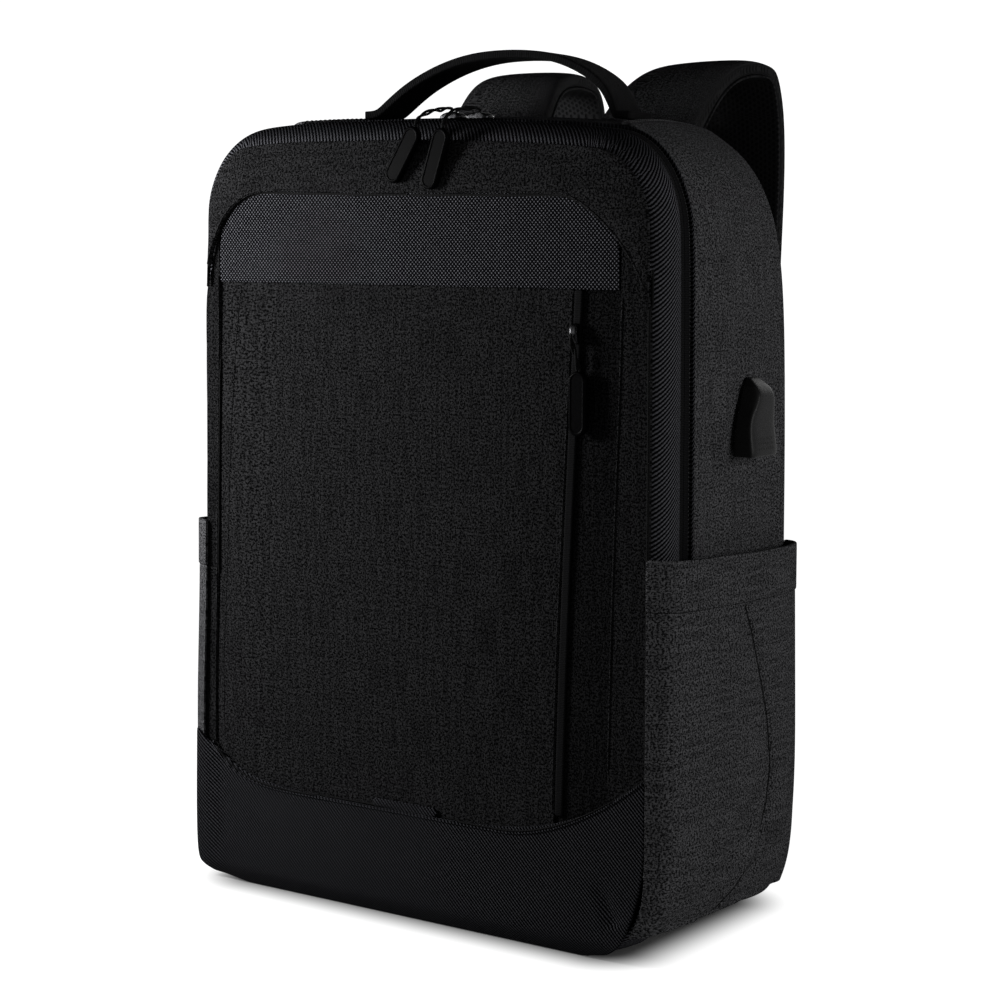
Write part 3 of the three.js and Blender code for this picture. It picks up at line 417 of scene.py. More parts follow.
class Laying:
    """Finds the place on some pieces of cloth that is met first when going along a direction."""

    run_up = 0.03
    reach = 0.12

    def __init__(self, cloths, aim):
        self.aim = aim
        self.trees = []
        for cloth in cloths:
            corners = [vertex.co for vertex in cloth.data.vertices]
            faces = [tuple(face.vertices) for face in cloth.data.polygons]
            self.trees.append(BVHTree.FromPolygons(corners, faces))

    def at(self, spot):
        heading = (self.aim(spot) if callable(self.aim) else Vector(self.aim)).normalized()
        start = spot - heading * self.run_up
        hits = [tree.ray_cast(start, heading, self.reach) for tree in self.trees]
        hits = [hit for hit in hits if hit[0] is not None]
        if not hits:
            return None
        where, normal, _, _ = min(hits, key=lambda hit: hit[3])
        return where, -normal if normal.dot(heading) > 0 else normal


def spaced(line, pitch):
    """Evenly spaced places on a line of points, each with the line's direction there."""
    line = [Vector(point) for point in line]
    lengths = [(b - a).length for a, b in zip(line, line[1:])]
    count = max(2, int(sum(lengths) / pitch))
    for index in range(count):
        left = (index + 0.5) * sum(lengths) / count
        for a, b, length in zip(line, line[1:], lengths):
            if left <= length:
                break
            left -= length
        yield a.lerp(b, left / length), (b - a).normalized()


def stitches(name, line, aim, cloths, thread, long=2.6, pitch=3.6, thick=0.55, sink=0.15):
    """A row of stitches along a line of points, each laid on the cloth met when going along aim."""
    laying = Laying(cloths, aim)
    row = bmesh.new()
    for spot, ahead in spaced(line, pitch * MM):
        found = laying.at(spot)
        if found is None:
            continue
        where, normal = found
        forth = (ahead - normal * ahead.dot(normal)).normalized()
        turn = Matrix((forth, normal.cross(forth), normal)).transposed().to_4x4()
        size = Matrix.Diagonal((long * MM, thick * MM, thick * MM * 0.8, 1))
        before = len(row.verts)
        row.from_mesh(one_stitch)
        row.verts.ensure_lookup_table()
        place = Matrix.Translation(where + normal * thick * MM * sink) @ turn @ size
        bmesh.ops.transform(row, matrix=place, verts=row.verts[before:])
    mesh = bpy.data.meshes.new(name)
    row.to_mesh(mesh)
    row.free()
    piece = bpy.data.objects.new(name, mesh)
    bpy.context.collection.objects.link(piece)
    return settled(piece, None, "heather", thread.material)


def edging(name, line, aim, cloths, material, thick=1.2, rise=0.2, step=2.5, slot="heather"):
    """A rolled edge or a cord along a line of points, laid on the cloth met when going along aim."""
    laying = Laying(cloths, aim)
    found = [laying.at(spot) for spot, _ in spaced(line, step * MM)]
    found = [item for item in found if item]
    curve = bpy.data.curves.new(name, "CURVE")
    curve.dimensions = "3D"
    curve.bevel_depth = thick / 2 * MM
    curve.bevel_resolution = 2
    curve.use_fill_caps = True
    path = curve.splines.new("POLY")
    path.points.add(len(found) - 1)
    for point, (where, normal) in zip(path.points, found):
        point.co = (*(where + normal * rise * MM), 1)
    holder = bpy.data.objects.new(name, curve)
    bpy.context.collection.objects.link(holder)
    graph = bpy.context.evaluated_depsgraph_get()
    mesh = bpy.data.meshes.new_from_object(holder.evaluated_get(graph))
    bpy.data.objects.remove(holder)
    piece = bpy.data.objects.new(name, mesh)
    bpy.context.collection.objects.link(piece)
    place = points_of(piece)
    weave(piece, place[:, 0] + place[:, 1], place[:, 2])
    return settled(piece, None, slot, material)


# Lines for stitches and edges start in the air over the top, in front or at a side of the bag,
# and are laid on the cloth from there.
DOWN = (0, 0, -1)
INWARD = (0, 1, 0)
OVER = 0.47
AHEAD = -0.12
ASIDE = 0.2
lip_rows = {"near": 1.6, "far": 5.4}
for side, name in ((-1, "left"), (1, "right")):
    lip = points_of(gussets[f"side_gusset_{name}"])
    for row, inset in lip_rows.items():
        line = []
        for y in np.linspace(-0.034, 0.074, 24):
            near = lip[(abs(lip[:, 1] - y) < 0.004) & (lip[:, 2] > 0.42)]
            line.append((side * (abs(near[:, 0]).min() + inset * MM), y, OVER))
        lapped = [gussets[f"side_gusset_{name}"]]
        stitches(f"lip_stitches_{name}_{row}", line, DOWN, lapped, thread_finish, long=2.4, pitch=3.2)

# ---------------------------------------------------------------------------
# Base and back: a smooth nylon base, and a padded back panel faced with
# spacer mesh, with an air channel sewn down its middle.
# ---------------------------------------------------------------------------


def nylon_finish(name, shade, dots, twill=1.65 * MM):
    """Close twill of a bluish black filament yarn. Dots is how far its ribs break up into knots. Shade is
    the cloth's own tone together with painted light, set part by part.
    """
    cloth = Finish(name, {"Specular IOR Level": 0.0})
    across, along, painted_shade = cloth.cloth_place()
    slanted = 2 * math.pi / (1.414 * twill)
    slant = ((across + along) * slanted).sine() * 0.5 + 0.5
    cross = ((across - along) * slanted).sine() * 0.5 + 0.5
    weave_shade = (slant * (cross * dots + (1 - dots))).between(0.25, 0.85)
    yarn = cloth.speckle(across / 0.0012, along / 0.0012).between(0.3, 0.7)
    # The third weave value is painted shade; it darkens the cloth.
    share = weave_shade * (yarn * 0.3 + 0.7) * (1 - painted_shade)
    dark = (0.0010 * shade, 0.0010 * shade, 0.0012 * shade, 1)
    light = (0.0450 * shade, 0.0454 * shade, 0.0500 * shade, 1)
    cloth.show({
        "Base Color": cloth.blend(share, dark, light),
        "Normal": cloth.raised(weave_shade, 0.4, 0.3 * MM),
        "Roughness": 0.66 - share * 0.12,
    })
    return cloth.material


# The shades are painted light: the band, lit from the right, is made lighter than the boot and base.
nylon = nylon_finish("nylon_twill", 0.24, dots=0.35)
band_nylon = nylon_finish("band_twill", 0.5, dots=0.3)


def mesh_finish(name, pitch, bright):
    """Spacer mesh: open round cells in staggered rows over a dark ground."""
    cloth = Finish(name, {"Roughness": 0.9, "Specular IOR Level": 0.02})
    across, along, _ = cloth.cloth_place()
    scale = 2 * math.pi / pitch
    leaning = along * (scale * 0.866)
    rows = (across * scale + math.pi / 2).sine()
    rows = rows + (across * (-scale / 2) + leaning + math.pi / 2).sine()
    rows = rows + (across * (-scale / 2) - leaning + math.pi / 2).sine()
    cell = rows.between(0.2, 1.3)
    knit = cloth.speckle(across / 0.0006, along / 0.0012).between(0.3, 0.7)
    share = (1 - cell) * (knit * 0.5 + 0.5)
    cloth.show({
        "Base Color": cloth.blend(share, (0.0008, 0.0008, 0.0009, 1), (bright, bright, bright * 1.05, 1)),
        "Normal": cloth.raised(1 - cell + knit * 0.1, 0.9, 0.6 * MM),
    })
    return cloth.material


air_mesh = mesh_finish("air_mesh", 3.4 * MM, 0.006)

base = sewn("base_panel", "nylon", nylon, levels=2)
place = points_of(base)
weave(base, place[:, 0], place[:, 1])

back = sewn("back_panel", "air_mesh", air_mesh)
upright_weave(back)


def padded_back(place):
    """Foam under the mesh: each pad stands full between its sewn lines."""
    if place.y < 0.070:
        return (0, 0, 0)
    rim = min(ease(0.140 - abs(place.x), 0, 0.03), ease(place.z, 0.01, 0.05))
    rim = min(rim, 1 - ease(place.z, 0.367, 0.427))
    rows = abs(math.sin(place.z * math.pi / 0.092)) ** 0.4
    return (0, (0.0035 * rows - 0.001) * rim, 0)


drape(back, padded_back)

# ---------------------------------------------------------------------------
# Front wall and folded borders: the wall shows as a sunken strip beside the
# pocket, and a doubled border is folded down each side over its edge.
# ---------------------------------------------------------------------------


def soft_front(place):
    """The small unevenness of cloth that is held flat."""
    wave = noise.noise(Vector((place.x * 16, 0.4, place.z * 9)))
    ripple = noise.noise(Vector((place.x * 55, 2.0, place.z * 18)))
    return (0, 0.0005 * wave + 0.00016 * ripple, 0)


# Painted shade: the sunken wall strip is made darker than the borders, and the borders darker than the
# pocket.
wall_heather = heather_finish("wall_heather_cloth", 0.13)
border_heather = heather_finish("border_heather_cloth", 0.195)
fronts = {}
for node in ("front_wall", "border_left", "border_right"):
    panel = sewn(node, "heather", wall_heather if node == "front_wall" else border_heather)
    place = points_of(panel)
    weave(panel, place[:, 0] + (0.003 if "border" in node else 0), place[:, 2])
    drape(panel, soft_front)
    fronts[node] = panel


def lowered(x, z):
    """A height on the front as the leaning bag has it: its top slopes down to the right."""
    return z - 0.006 * (x / HALF_WIDTH) * (z / BODY_TOP) ** 4


# Painted shadow: a near-black finish for thin lines laid where grooves and overlaps are in shade.
painted_shadow_line = Finish("painted_shadow_line", {"Roughness": 0.9, "Specular IOR Level": 0.02})
painted_shadow_line.show({
    "Base Color": painted_shadow_line.mottled(0.002, (0.0004, 0.0004, 0.0004), (0.0016, 0.0016, 0.0017)),
})
# Painted highlight: a lighter heather for the rolled edges and folds, which catch the light.
painted_highlight_heather = heather_finish("painted_highlight_heather_cloth", 0.32)
fold_lines = {
    "left": [
        (-0.1463, 0.070), (-0.1456, 0.12), (-0.1445, 0.19), (-0.1425, 0.26), (-0.1408, 0.31),
        (-0.1400, 0.352),
    ],
    "right": [
        (0.1266, 0.090), (0.1275, 0.12), (0.1292, 0.20), (0.1312, 0.26), (0.1330, 0.31),
        (0.1340, 0.344),
    ],
}
# Along each fold: a painted highlight on its rolled edge and a painted shadow line beside it.
for name, rows in fold_lines.items():
    side = -1 if name == "left" else 1
    over = [fronts[f"border_{name}"], fronts["front_wall"]]
    for row, inset, thick, material in (
        ("edge", 0.5 * side, 0.9, painted_highlight_heather),
        ("shadow", -0.6 * side, 1.3, painted_shadow_line.material),
    ):
        line = [(x + inset * MM, AHEAD, lowered(x, z)) for x, z in rows]
        edging(f"fold_{row}_{name}", line, INWARD, over, material, thick=thick)

# ---------------------------------------------------------------------------
# Front pocket: one full panel, tucked under the facing and the boot, with a
# zip in the recess on its right, and a moulded pull on a short cord.
# ---------------------------------------------------------------------------
pocket = sewn("pocket_panel", "heather", heather, levels=4)
upright_weave(pocket)


def soft_pocket(place):
    """Slow waves over the full middle of the pocket, none at its sewn edges."""
    rim = min(ease(place.x, -0.125, -0.09), ease(0.09 - place.x, 0, 0.03), ease(place.z, 0.067, 0.107))
    rim = min(rim, ease(0.337 - place.z, 0, 0.04))
    wave = noise.noise(Vector((place.x * 9, 4.0, place.z * 6)))
    ripple = noise.noise(Vector((place.x * 30, 6.0, place.z * 12)))
    return (0, rim * (0.0012 * wave + 0.0003 * ripple), 0)


def wide_pocket(place):
    """The pocket's left edge runs on under the border."""
    reach = 0.006 + 0.013 * ease(place.z, 0.12, 0.34)
    return (-reach * ease(-place.x, 0.095, 0.122), 0, 0)


drape(pocket, soft_pocket)
drape(pocket, wide_pocket)
pocket_edges = {
    "right": {"inset": -0.7, "thick": 0.9, "rows": [
        (0.0926, 0.075), (0.0938, 0.12), (0.0957, 0.17), (0.0976, 0.21), (0.1007, 0.27), (0.1028, 0.31),
        (0.1045, 0.347),
    ]},
    "left": {"inset": 0.7, "thick": 0.5, "rows": [
        (-0.1405, 0.085), (-0.1410, 0.13), (-0.1366, 0.21), (-0.1328, 0.27), (-0.1290, 0.31),
        (-0.1242, 0.347),
    ]},
}
# A painted highlight line along each edge of the pocket.
for name, edge in pocket_edges.items():
    line = [(x + edge["inset"] * MM, AHEAD, lowered(x, z)) for x, z in edge["rows"]]
    edging(f"pocket_edge_{name}", line, INWARD, [pocket], painted_highlight_heather, thick=edge["thick"], rise=0.05)


def zip_finish(name):
    """Woven zip tape: fine ribs across it."""
    cloth = Finish(name, {"Roughness": 0.85, "Specular IOR Level": 0.01})
    across, along, _ = cloth.cloth_place()
    rib = abs((along * (math.pi / (0.9 * MM))).sine())
    grain = cloth.speckle(across / 0.0008, along / 0.0008)
    cloth.show({
        "Base Color": cloth.blend(rib * grain, (0.0003, 0.0003, 0.0003, 1), (0.0030, 0.0030, 0.0033, 1)),
        "Normal": cloth.raised(rib, 0.4, 0.2 * MM),
    })
    return cloth.material


zip_tape = zip_finish("zip_tape")
front_zip = sewn("front_zip", "zip_tape", zip_tape, levels=2)
upright_weave(front_zip)

metal_finish = Finish("plated_metal", {"Metallic": 1.0})
metal_finish.show({
    "Base Color": metal_finish.mottled(0.004, (0.003, 0.003, 0.0033), (0.010, 0.010, 0.0105)),
    "Roughness": metal_finish.cloud(0.002).between(0.2, 0.9) * 0.2 + 0.22,
})

rubber_finish = Finish("moulded_rubber", {"Specular IOR Level": 0.003})
rubber_finish.show({
    "Base Color": rubber_finish.mottled(0.006, (0.0002, 0.0002, 0.00025), (0.0004, 0.0004, 0.00045)),
    "Roughness": rubber_finish.cloud(0.0015).between(0.2, 0.8) * 0.1 + 0.36,
    "Normal": rubber_finish.raised(rubber_finish.cloud(0.0007), 0.15, 0.1 * MM),
})

cord_finish = Finish("braided_cord", {"Roughness": 0.8, "Specular IOR Level": 0.02})
cord_finish.show({
    "Base Color": cord_finish.mottled(0.0012, (0.0002, 0.0002, 0.0002), (0.0012, 0.0012, 0.0013)),
    "Normal": cord_finish.raised(cord_finish.cloud(0.0009), 0.6, 0.3 * MM),
})

front_slider = sewn("front_slider", "metal", metal_finish.material, levels=2, crease=0.6)


def pull_tab(node, hang, lean=0.0, wide=10.5, long=33.0, thick=4.0):
    """A moulded tab with round ends and a thin raised rim, hanging from its upper end."""
    shape = bmesh.new()
    radius = wide / 2 * MM
    bmesh.ops.create_circle(shape, cap_ends=True, segments=40, radius=radius)
    for vertex in shape.verts:
        vertex.co.y += (radius - long * MM) if vertex.co.y < -1e-7 else -radius
    made = bmesh.ops.extrude_face_region(shape, geom=shape.faces[:])
    lifted = [item for item in made["geom"] if isinstance(item, bmesh.types.BMVert)]
    bmesh.ops.translate(shape, verts=lifted, vec=(0, 0, thick * MM))
    bmesh.ops.translate(shape, verts=shape.verts, vec=(0, 0, -thick / 2 * MM))
    bmesh.ops.recalc_face_normals(shape, faces=shape.faces)
    caps = [face for face in shape.faces if abs(face.normal.z) > 0.9]
    rims = list({edge for face in caps for edge in face.edges})
    bmesh.ops.bevel(
        shape, geom=rims, offset=1.1 * MM, offset_type="OFFSET", segments=4, profile=0.5, affect="EDGES",
        material=-1,
    )
    caps = [face for face in shape.faces if abs(face.normal.z) > 0.999 and len(face.verts) > 8]
    bmesh.ops.inset_individual(shape, faces=caps, thickness=0.5 * MM, depth=0)
    bmesh.ops.inset_individual(shape, faces=caps, thickness=0.3 * MM, depth=-0.3 * MM)
    bmesh.ops.rotate(shape, verts=shape.verts, matrix=Matrix.Rotation(math.pi / 2, 3, "X"))
    bmesh.ops.rotate(shape, verts=shape.verts, matrix=Matrix.Rotation(math.radians(lean), 3, "Y"))
    bmesh.ops.translate(shape, verts=shape.verts, vec=hang)
    mesh = bpy.data.meshes.new("made_" + node)
    shape.to_mesh(mesh)
    shape.free()
    piece = bpy.data.objects.new("made_" + node, mesh)
    bpy.context.collection.objects.link(piece)
    settled(piece, node, "rubber", rubber_finish.material)
    for face in mesh.polygons:
        face.use_smooth = len(face.vertices) < 8
    return piece


front_pull_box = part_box("front_pull")
front_hang = (
    (front_pull_box[0].x + front_pull_box[1].x) / 2,
    (front_pull_box[0].y + front_pull_box[1].y) / 2,
)
pull_tab("front_pull", (*front_hang, front_pull_box[1].z))


def twisted_cord(node, route, twist=2, strand=1.4, apart=0.75):
    """Two strands laid round each other along a route of points."""
    spine = bpy.data.curves.new("spine", "CURVE")
    spine.dimensions = "3D"
    spine.resolution_u = 12
    path = spine.splines.new("NURBS")
    path.points.add(len(route) - 1)
    for point, place in zip(path.points, route):
        point.co = (*place, 1)
    path.use_endpoint_u = True
    path.order_u = 4
    holder = bpy.data.objects.new("spine", spine)
    bpy.context.collection.objects.link(holder)
    graph = bpy.context.evaluated_depsgraph_get()
    flat = bpy.data.meshes.new_from_object(holder.evaluated_get(graph))
    line = [vertex.co.copy() for vertex in flat.vertices]
    bpy.data.objects.remove(holder)
    curve = bpy.data.curves.new("made_" + node, "CURVE")
    curve.dimensions = "3D"
    curve.bevel_depth = strand / 2 * MM
    curve.bevel_resolution = 3
    curve.use_fill_caps = True
    for start in (0.0, math.pi):
        strand_line = curve.splines.new("POLY")
        strand_line.points.add(len(line) - 1)
        for index, centre in enumerate(line):
            ahead = line[min(index + 1, len(line) - 1)] - line[max(index - 1, 0)]
            aside = ahead.cross(Vector((0.3, 1, 0.2))).normalized()
            turn = Matrix.Rotation(start + index / len(line) * twist * 2 * math.pi, 3, ahead.normalized())
            strand_line.points[index].co = (*(centre + turn @ aside * apart * MM), 1)
    holder = bpy.data.objects.new("made_" + node, curve)
    bpy.context.collection.objects.link(holder)
    graph = bpy.context.evaluated_depsgraph_get()
    mesh = bpy.data.meshes.new_from_object(holder.evaluated_get(graph))
    bpy.data.objects.remove(holder)
    piece = bpy.data.objects.new("made_" + node, mesh)
    bpy.context.collection.objects.link(piece)
    return settled(piece, node, "webbing", cord_finish.material)


front_cord_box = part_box("front_cord")
front_slider_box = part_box("front_slider")
slider_x = (front_slider_box[0].x + front_slider_box[1].x) / 2
twisted_cord("front_cord", [
    (slider_x, front_cord_box[0].y + 0.0012, front_cord_box[1].z),
    (slider_x, front_cord_box[0].y + 0.0012, front_cord_box[1].z - 0.006),
    (front_hang[0], front_hang[1], front_pull_box[1].z + 0.006),
    (front_hang[0], front_hang[1], front_pull_box[1].z - 0.001),
], twist=1)

# ---------------------------------------------------------------------------
# Facing: a smooth strip of nylon twill across the front, sewn to the top of the
# pocket and running up under the yoke.
# ---------------------------------------------------------------------------
# Painted light: the facing, lit from the left, is made lighter than the boot.
facing_nylon = nylon_finish("facing_twill", 0.72, dots=0.9)
facing = sewn("facing", "nylon", facing_nylon)
upright_weave(facing)
drape(facing, soft_front)

# ---------------------------------------------------------------------------
# Yoke: the heather panel over the top of the front. Its lower edge is rolled
# over a cord and falls to a tip at each side.
# ---------------------------------------------------------------------------
# The yoke's shade is painted light, set for this part.
yoke_heather = heather_finish("yoke_heather_cloth", 0.285)
yoke = sewn("yoke", "heather", yoke_heather, levels=4)
place = points_of(yoke)
weave(yoke, place[:, 2], place[:, 0])


def soft_yoke(place):
    """Low waves, fuller than the rest of the front."""
    wave = noise.noise(Vector((place.x * 11, 1.0, place.z * 15)))
    ripple = noise.noise(Vector((place.x * 30, 3.0, place.z * 40)))
    return (0, -0.0004 - 0.0005 * wave - 0.0002 * ripple, 0)


drape(yoke, soft_yoke)
yoke_ends = {
    "left": {"side": -1, "bend": 0.660, "tip": 0.963, "power": 2.0},
    "right": {"side": 1, "bend": 0.640, "tip": 0.974, "power": 1.45},
}


def yoke_edge(end, shift):
    """The yoke's lower edge from the tip at one side to the middle, moved down by shift."""
    line = []
    for arc in np.linspace(0.14 if end["side"] < 0 else 0.0, 1.0, 25):
        share = math.cos(arc * math.pi / 2) ** (2 / end["power"])
        x = end["side"] * HALF_WIDTH * (end["bend"] + (end["tip"] - end["bend"]) * share)
        z = 0.345 + 0.052 * math.sin(arc * math.pi / 2) ** (2 / end["power"])
        line.append((x - end["side"] * shift * share, AHEAD, lowered(x, z) - shift * (1 - share)))
    return line + [(0.0, AHEAD, 0.397 - shift)]


# Along the yoke's lower edge: a roll with a painted highlight, and a painted shadow line under it.
for name, end in yoke_ends.items():
    over = [yoke, facing, fronts[f"border_{name}"]]
    roll, shadow = yoke_edge(end, -0.6 * MM), yoke_edge(end, 0.9 * MM)
    edging(f"yoke_roll_{name}", roll, INWARD, over, painted_highlight_heather, thick=1.1, rise=0.0)
    edging(f"yoke_shadow_{name}", shadow, INWARD, over, painted_shadow_line.material, thick=1.5, rise=-0.3)

# ---------------------------------------------------------------------------
# Boot: smooth nylon round the bottom of the front, turned under at the foot,
# with a plain tab sewn into its upper seam.
# ---------------------------------------------------------------------------
boot = sewn("boot", "nylon", nylon)
place = points_of(boot)
weave(boot, place[:, 0], place[:, 2] - place[:, 1])


def soft_boot(place):
    """Low waves, and the pinch in the lower right corner."""
    if place.z < 0.02:
        return (0, 0, 0)
    rim = min(ease(place.x, -0.152, -0.13), ease(0.150 - place.x, 0, 0.02), ease(place.z, 0.02, 0.04))
    wave = noise.noise(Vector((place.x * 13, 8.0, place.z * 20)))
    pinch = math.exp(-(((place.x - 0.128 + (place.z - 0.03) * 0.5) / 0.004) ** 2))
    pinch *= 1 - ease(place.z, 0.030, 0.045)
    return (0, 0.0006 * rim * wave + 0.0022 * pinch, 0)


def wrapped_boot(place):
    """The left end of the boot is drawn round the corner, over the side pocket's front edge."""
    round_share = ease(-0.138 - place.x, 0, 0.014)
    return (-0.0030 * round_share, -0.0014 * round_share, 0)


drape(boot, soft_boot)
drape(boot, wrapped_boot)
boot_sweeps = {
    "left": {"start": 0.400, "rise": 29, "bend": 4.5},
    "right": {"start": 0.400, "rise": 41, "bend": 1.8},
}


def boot_edge(x):
    """The height of the boot's upper seam, which sweeps up towards each side."""
    sweep = boot_sweeps["left" if x < 0 else "right"]
    share = max(0.0, (abs(x) / HALF_WIDTH - sweep["start"]) / (1 - sweep["start"]))
    return lowered(x, (60 + sweep["rise"] * share ** sweep["bend"]) * MM)


# The boot's top edge: a nylon roll, and a painted shadow line just above it.
boot_lines = {"roll": (-0.6, 1.1, nylon), "shadow": (0.7, 0.9, painted_shadow_line.material)}
for row, (lift, thick, material) in boot_lines.items():
    line = [(x, AHEAD, boot_edge(x) + lift * MM) for x in np.linspace(-0.149, 0.1505, 90)]
    over = [boot, pocket, front_zip, *fronts.values()]
    edging(f"boot_{row}", line, INWARD, over, material, thick=thick, rise=0.1, slot="nylon")
boot_tab = sewn("boot_tab", "nylon", nylon, levels=2)
upright_weave(boot_tab)

# ---------------------------------------------------------------------------
# Edge band and main zip: a rolled nylon band round the front edge, two tapes
# that meet over the coil, and a thin piping along the gusset.
# ---------------------------------------------------------------------------
band_line = round_line(0.154, 0.435, 0.043, 0.057)
band = sewn("edge_band", "nylon", band_nylon)
place = points_of(band)
# Painted shade on the band's top: it is made darker where it faces up, by up to 0.65.
overhead = np.array([ease(vertex.normal.z, 0.3, 0.8) for vertex in band.data.vertices])
weave(band, place[:, 1], run_along(band_line, place[:, [0, 2]]), painted_shade=0.65 * overhead)


def soft_band(place):
    """Puckers where the band is pulled round the corners."""
    lift = noise.noise(Vector((place.x * 30, place.y * 20, place.z * 24)))
    hold = ease(place.z, 0.02, 0.06) * ease(place.y, -0.071, -0.066) * (1 - ease(place.y, -0.056, -0.051))
    away = Vector((place.x, 0, max(0.0, place.z - 0.337))).normalized()
    return away * (0.0007 * lift * hold)


drape(band, soft_band)
zips = {}
for node, slot, material in (
    ("zip_tape_front", "zip_tape", zip_tape),
    ("zip_tape_rear", "zip_tape", zip_tape),
    ("zip_coil", "zip_tape", zip_tape),
    ("zip_piping", "nylon", nylon),
):
    strip = sewn(node, slot, material, crease=0.5 if node == "zip_piping" else 0.9)
    place = points_of(strip)
    weave(strip, place[:, 1], run_along(band_line, place[:, [0, 2]]))
    zips[node] = strip


def to_core(spot):
    """From outside the bag straight towards the middle of its section."""
    core = Vector((max(-0.09, min(0.09, spot.x)), spot.y, max(0.02, min(0.337, spot.z))))
    return core - spot


around = round_line(0.175, 0.462, 0.050, 0.065, low=0.21)
zip_seam = [(x, -0.0385, z) for x, z in around]
rear_tape = [zips["zip_tape_rear"]]
stitches("zip_stitches", zip_seam, to_core, rear_tape, thread_finish, long=1.3, pitch=2.2, thick=0.45)
band_seam = [(x, -0.0488, z) for x, z in around]
front_tape = [zips["zip_tape_front"]]
stitches("tape_stitches", band_seam, to_core, front_tape, dark_thread_finish, long=1.6, pitch=2.6)

# A painted shadow line in the groove where the band meets the right border.
rim_x = 0.1502
rim_line = [(rim_x, AHEAD, lowered(rim_x, z)) for z in np.linspace(0.09, 0.36, 30)]
over = [band, fronts["border_right"]]
edging("rim_painted_shadow", rim_line, INWARD, over, painted_shadow_line.material, thick=1.6, rise=0.0)

main_pulls = {
    "left": {"slider": 6, "hang": (9, -80.2, 430.7), "lean": 33},
    "right": {"slider": 24, "hang": (27, -80.2, 429.7), "lean": 19},
}
for name, row in main_pulls.items():
    sewn(f"main_slider_{name}", "metal", metal_finish.material, levels=2, crease=0.6)
    slider_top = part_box(f"main_slider_{name}")[1].z / MM
    start = row["slider"]
    x, y, z = row["hang"]
    route = [
        (start, -44.5, slider_top + 1.4),
        (start + 0.1 * (x - start), -48, slider_top + 2.4),
        (start + 0.3 * (x - start), -55, 441.5),
        (start + 0.6 * (x - start), -64, 441),
        (x, -73, 438.5),
        (x, -78.5, 436),
        (x, y, z + 3),
        (x, y, z - 1),
    ]
    twisted_cord(f"main_cord_{name}", [Vector(point) * MM for point in route])
    pull_tab(f"main_pull_{name}", Vector(row["hang"]) * MM, lean=row["lean"])

# ---------------------------------------------------------------------------
# Side pockets: open heather pockets with a wide folded hem. A curved dart
# draws each one in below, and the cloth creases where it meets the foot.
# ---------------------------------------------------------------------------
dart_line = [(-0.003, 0.182), (0.006, 0.165), (0.016, 0.142), (0.026, 0.117), (0.030, 0.092)]
dart_line += [(0.027, 0.069), (0.020, 0.053), (0.006, 0.039), (-0.004, 0.027), (-0.012, 0.018)]


def dart_gap(place):
    """How far a point lies from the dart, before it or behind it."""
    for (y0, z0), (y1, z1) in zip(dart_line, dart_line[1:]):
        if z1 <= place.z <= z0:
            share = (place.z - z0) / (z1 - z0)
            return place.y - (y0 + (y1 - y0) * share)
    return None


def soft_side_pocket(place):
    """Folds in the pocket, and small creases where it is gathered at its foot."""
    side = 1 if place.x > 0 else -1
    hold = ease(place.y, -0.070, -0.050) * (1 - ease(place.y, 0.055, 0.072))
    fold = noise.noise(Vector((place.y * 22, side * 5.0, place.z * 16 + place.y * 10)))
    crease = noise.noise(Vector((place.y * 70 - place.z * 40, side * 2.0, place.z * 30)))
    low = 1 - ease(place.z, 0.037, 0.087)
    pucker = noise.noise(Vector((place.y * 90 - place.z * 25, side * 9.0, place.z * 22)))
    front_edge = 1 - ease(place.y, -0.075, -0.066)
    tucked = 0.0022 * front_edge if side < 0 else 0.0
    return (side * (hold * (0.0011 * fold + (0.0018 * crease + 0.0016 * pucker) * low) - tucked), 0, 0)


def sink_dart(place):
    """The groove that the dart's seam draws in the pocket."""
    gap = dart_gap(place)
    if gap is None:
        return (0, 0, 0)
    side = 1 if place.x > 0 else -1
    groove = math.exp(-((gap / 0.0016) ** 2))
    return (-side * 0.0014 * groove, 0, 0)


pocket_line = [(-0.110, -0.0756), (-0.150, -0.0756), (-0.166, -0.072), (-0.168, 0.0)]
pocket_line += [(-0.166, 0.070), (-0.148, 0.0756), (-0.110, 0.0756)]
pocket_thread = {"long": 2.2, "pitch": 3.4, "thick": 0.5}
pocket_pieces = {}
for side, name in ((-1, "left"), (1, "right")):
    for node in (f"side_pocket_{name}", f"pocket_hem_{name}"):
        panel = sewn(node, "heather", side_heather, levels=4 if "side" in node else 3)
        place = points_of(panel)
        turned = np.column_stack([-abs(place[:, 0]), place[:, 1]])
        weave(panel, place[:, 2], run_along(pocket_line, turned))
        drape(panel, soft_side_pocket)
        if "side" in node:
            drape(panel, sink_dart)
        pocket_pieces[node] = panel
    inward = (-side, 0, 0)
    side_pocket = [pocket_pieces[f"side_pocket_{name}"]]
    hem = [pocket_pieces[f"pocket_hem_{name}"]]
    for row, shift in (("before", -2.2), ("behind", 2.4)):
        line = [(side * ASIDE, y + shift * MM, z) for y, z in dart_line]
        row_name = f"dart_stitches_{name}_{row}"
        stitches(row_name, line, inward, side_pocket, dark_thread_finish, **pocket_thread)
    # A painted shade line down the dart's groove.
    dart_painted_shade = [(side * ASIDE, y, z) for y, z in dart_line]
    edging(f"dart_painted_shade_{name}", dart_painted_shade, inward, side_pocket, painted_shadow_line.material, thick=1.5, rise=-0.1)
    hem_row = [(side * ASIDE, y, 0.1845) for y in (-0.066, 0.066)]
    stitches(f"hem_stitches_{name}", hem_row, inward, hem, dark_thread_finish, **pocket_thread)

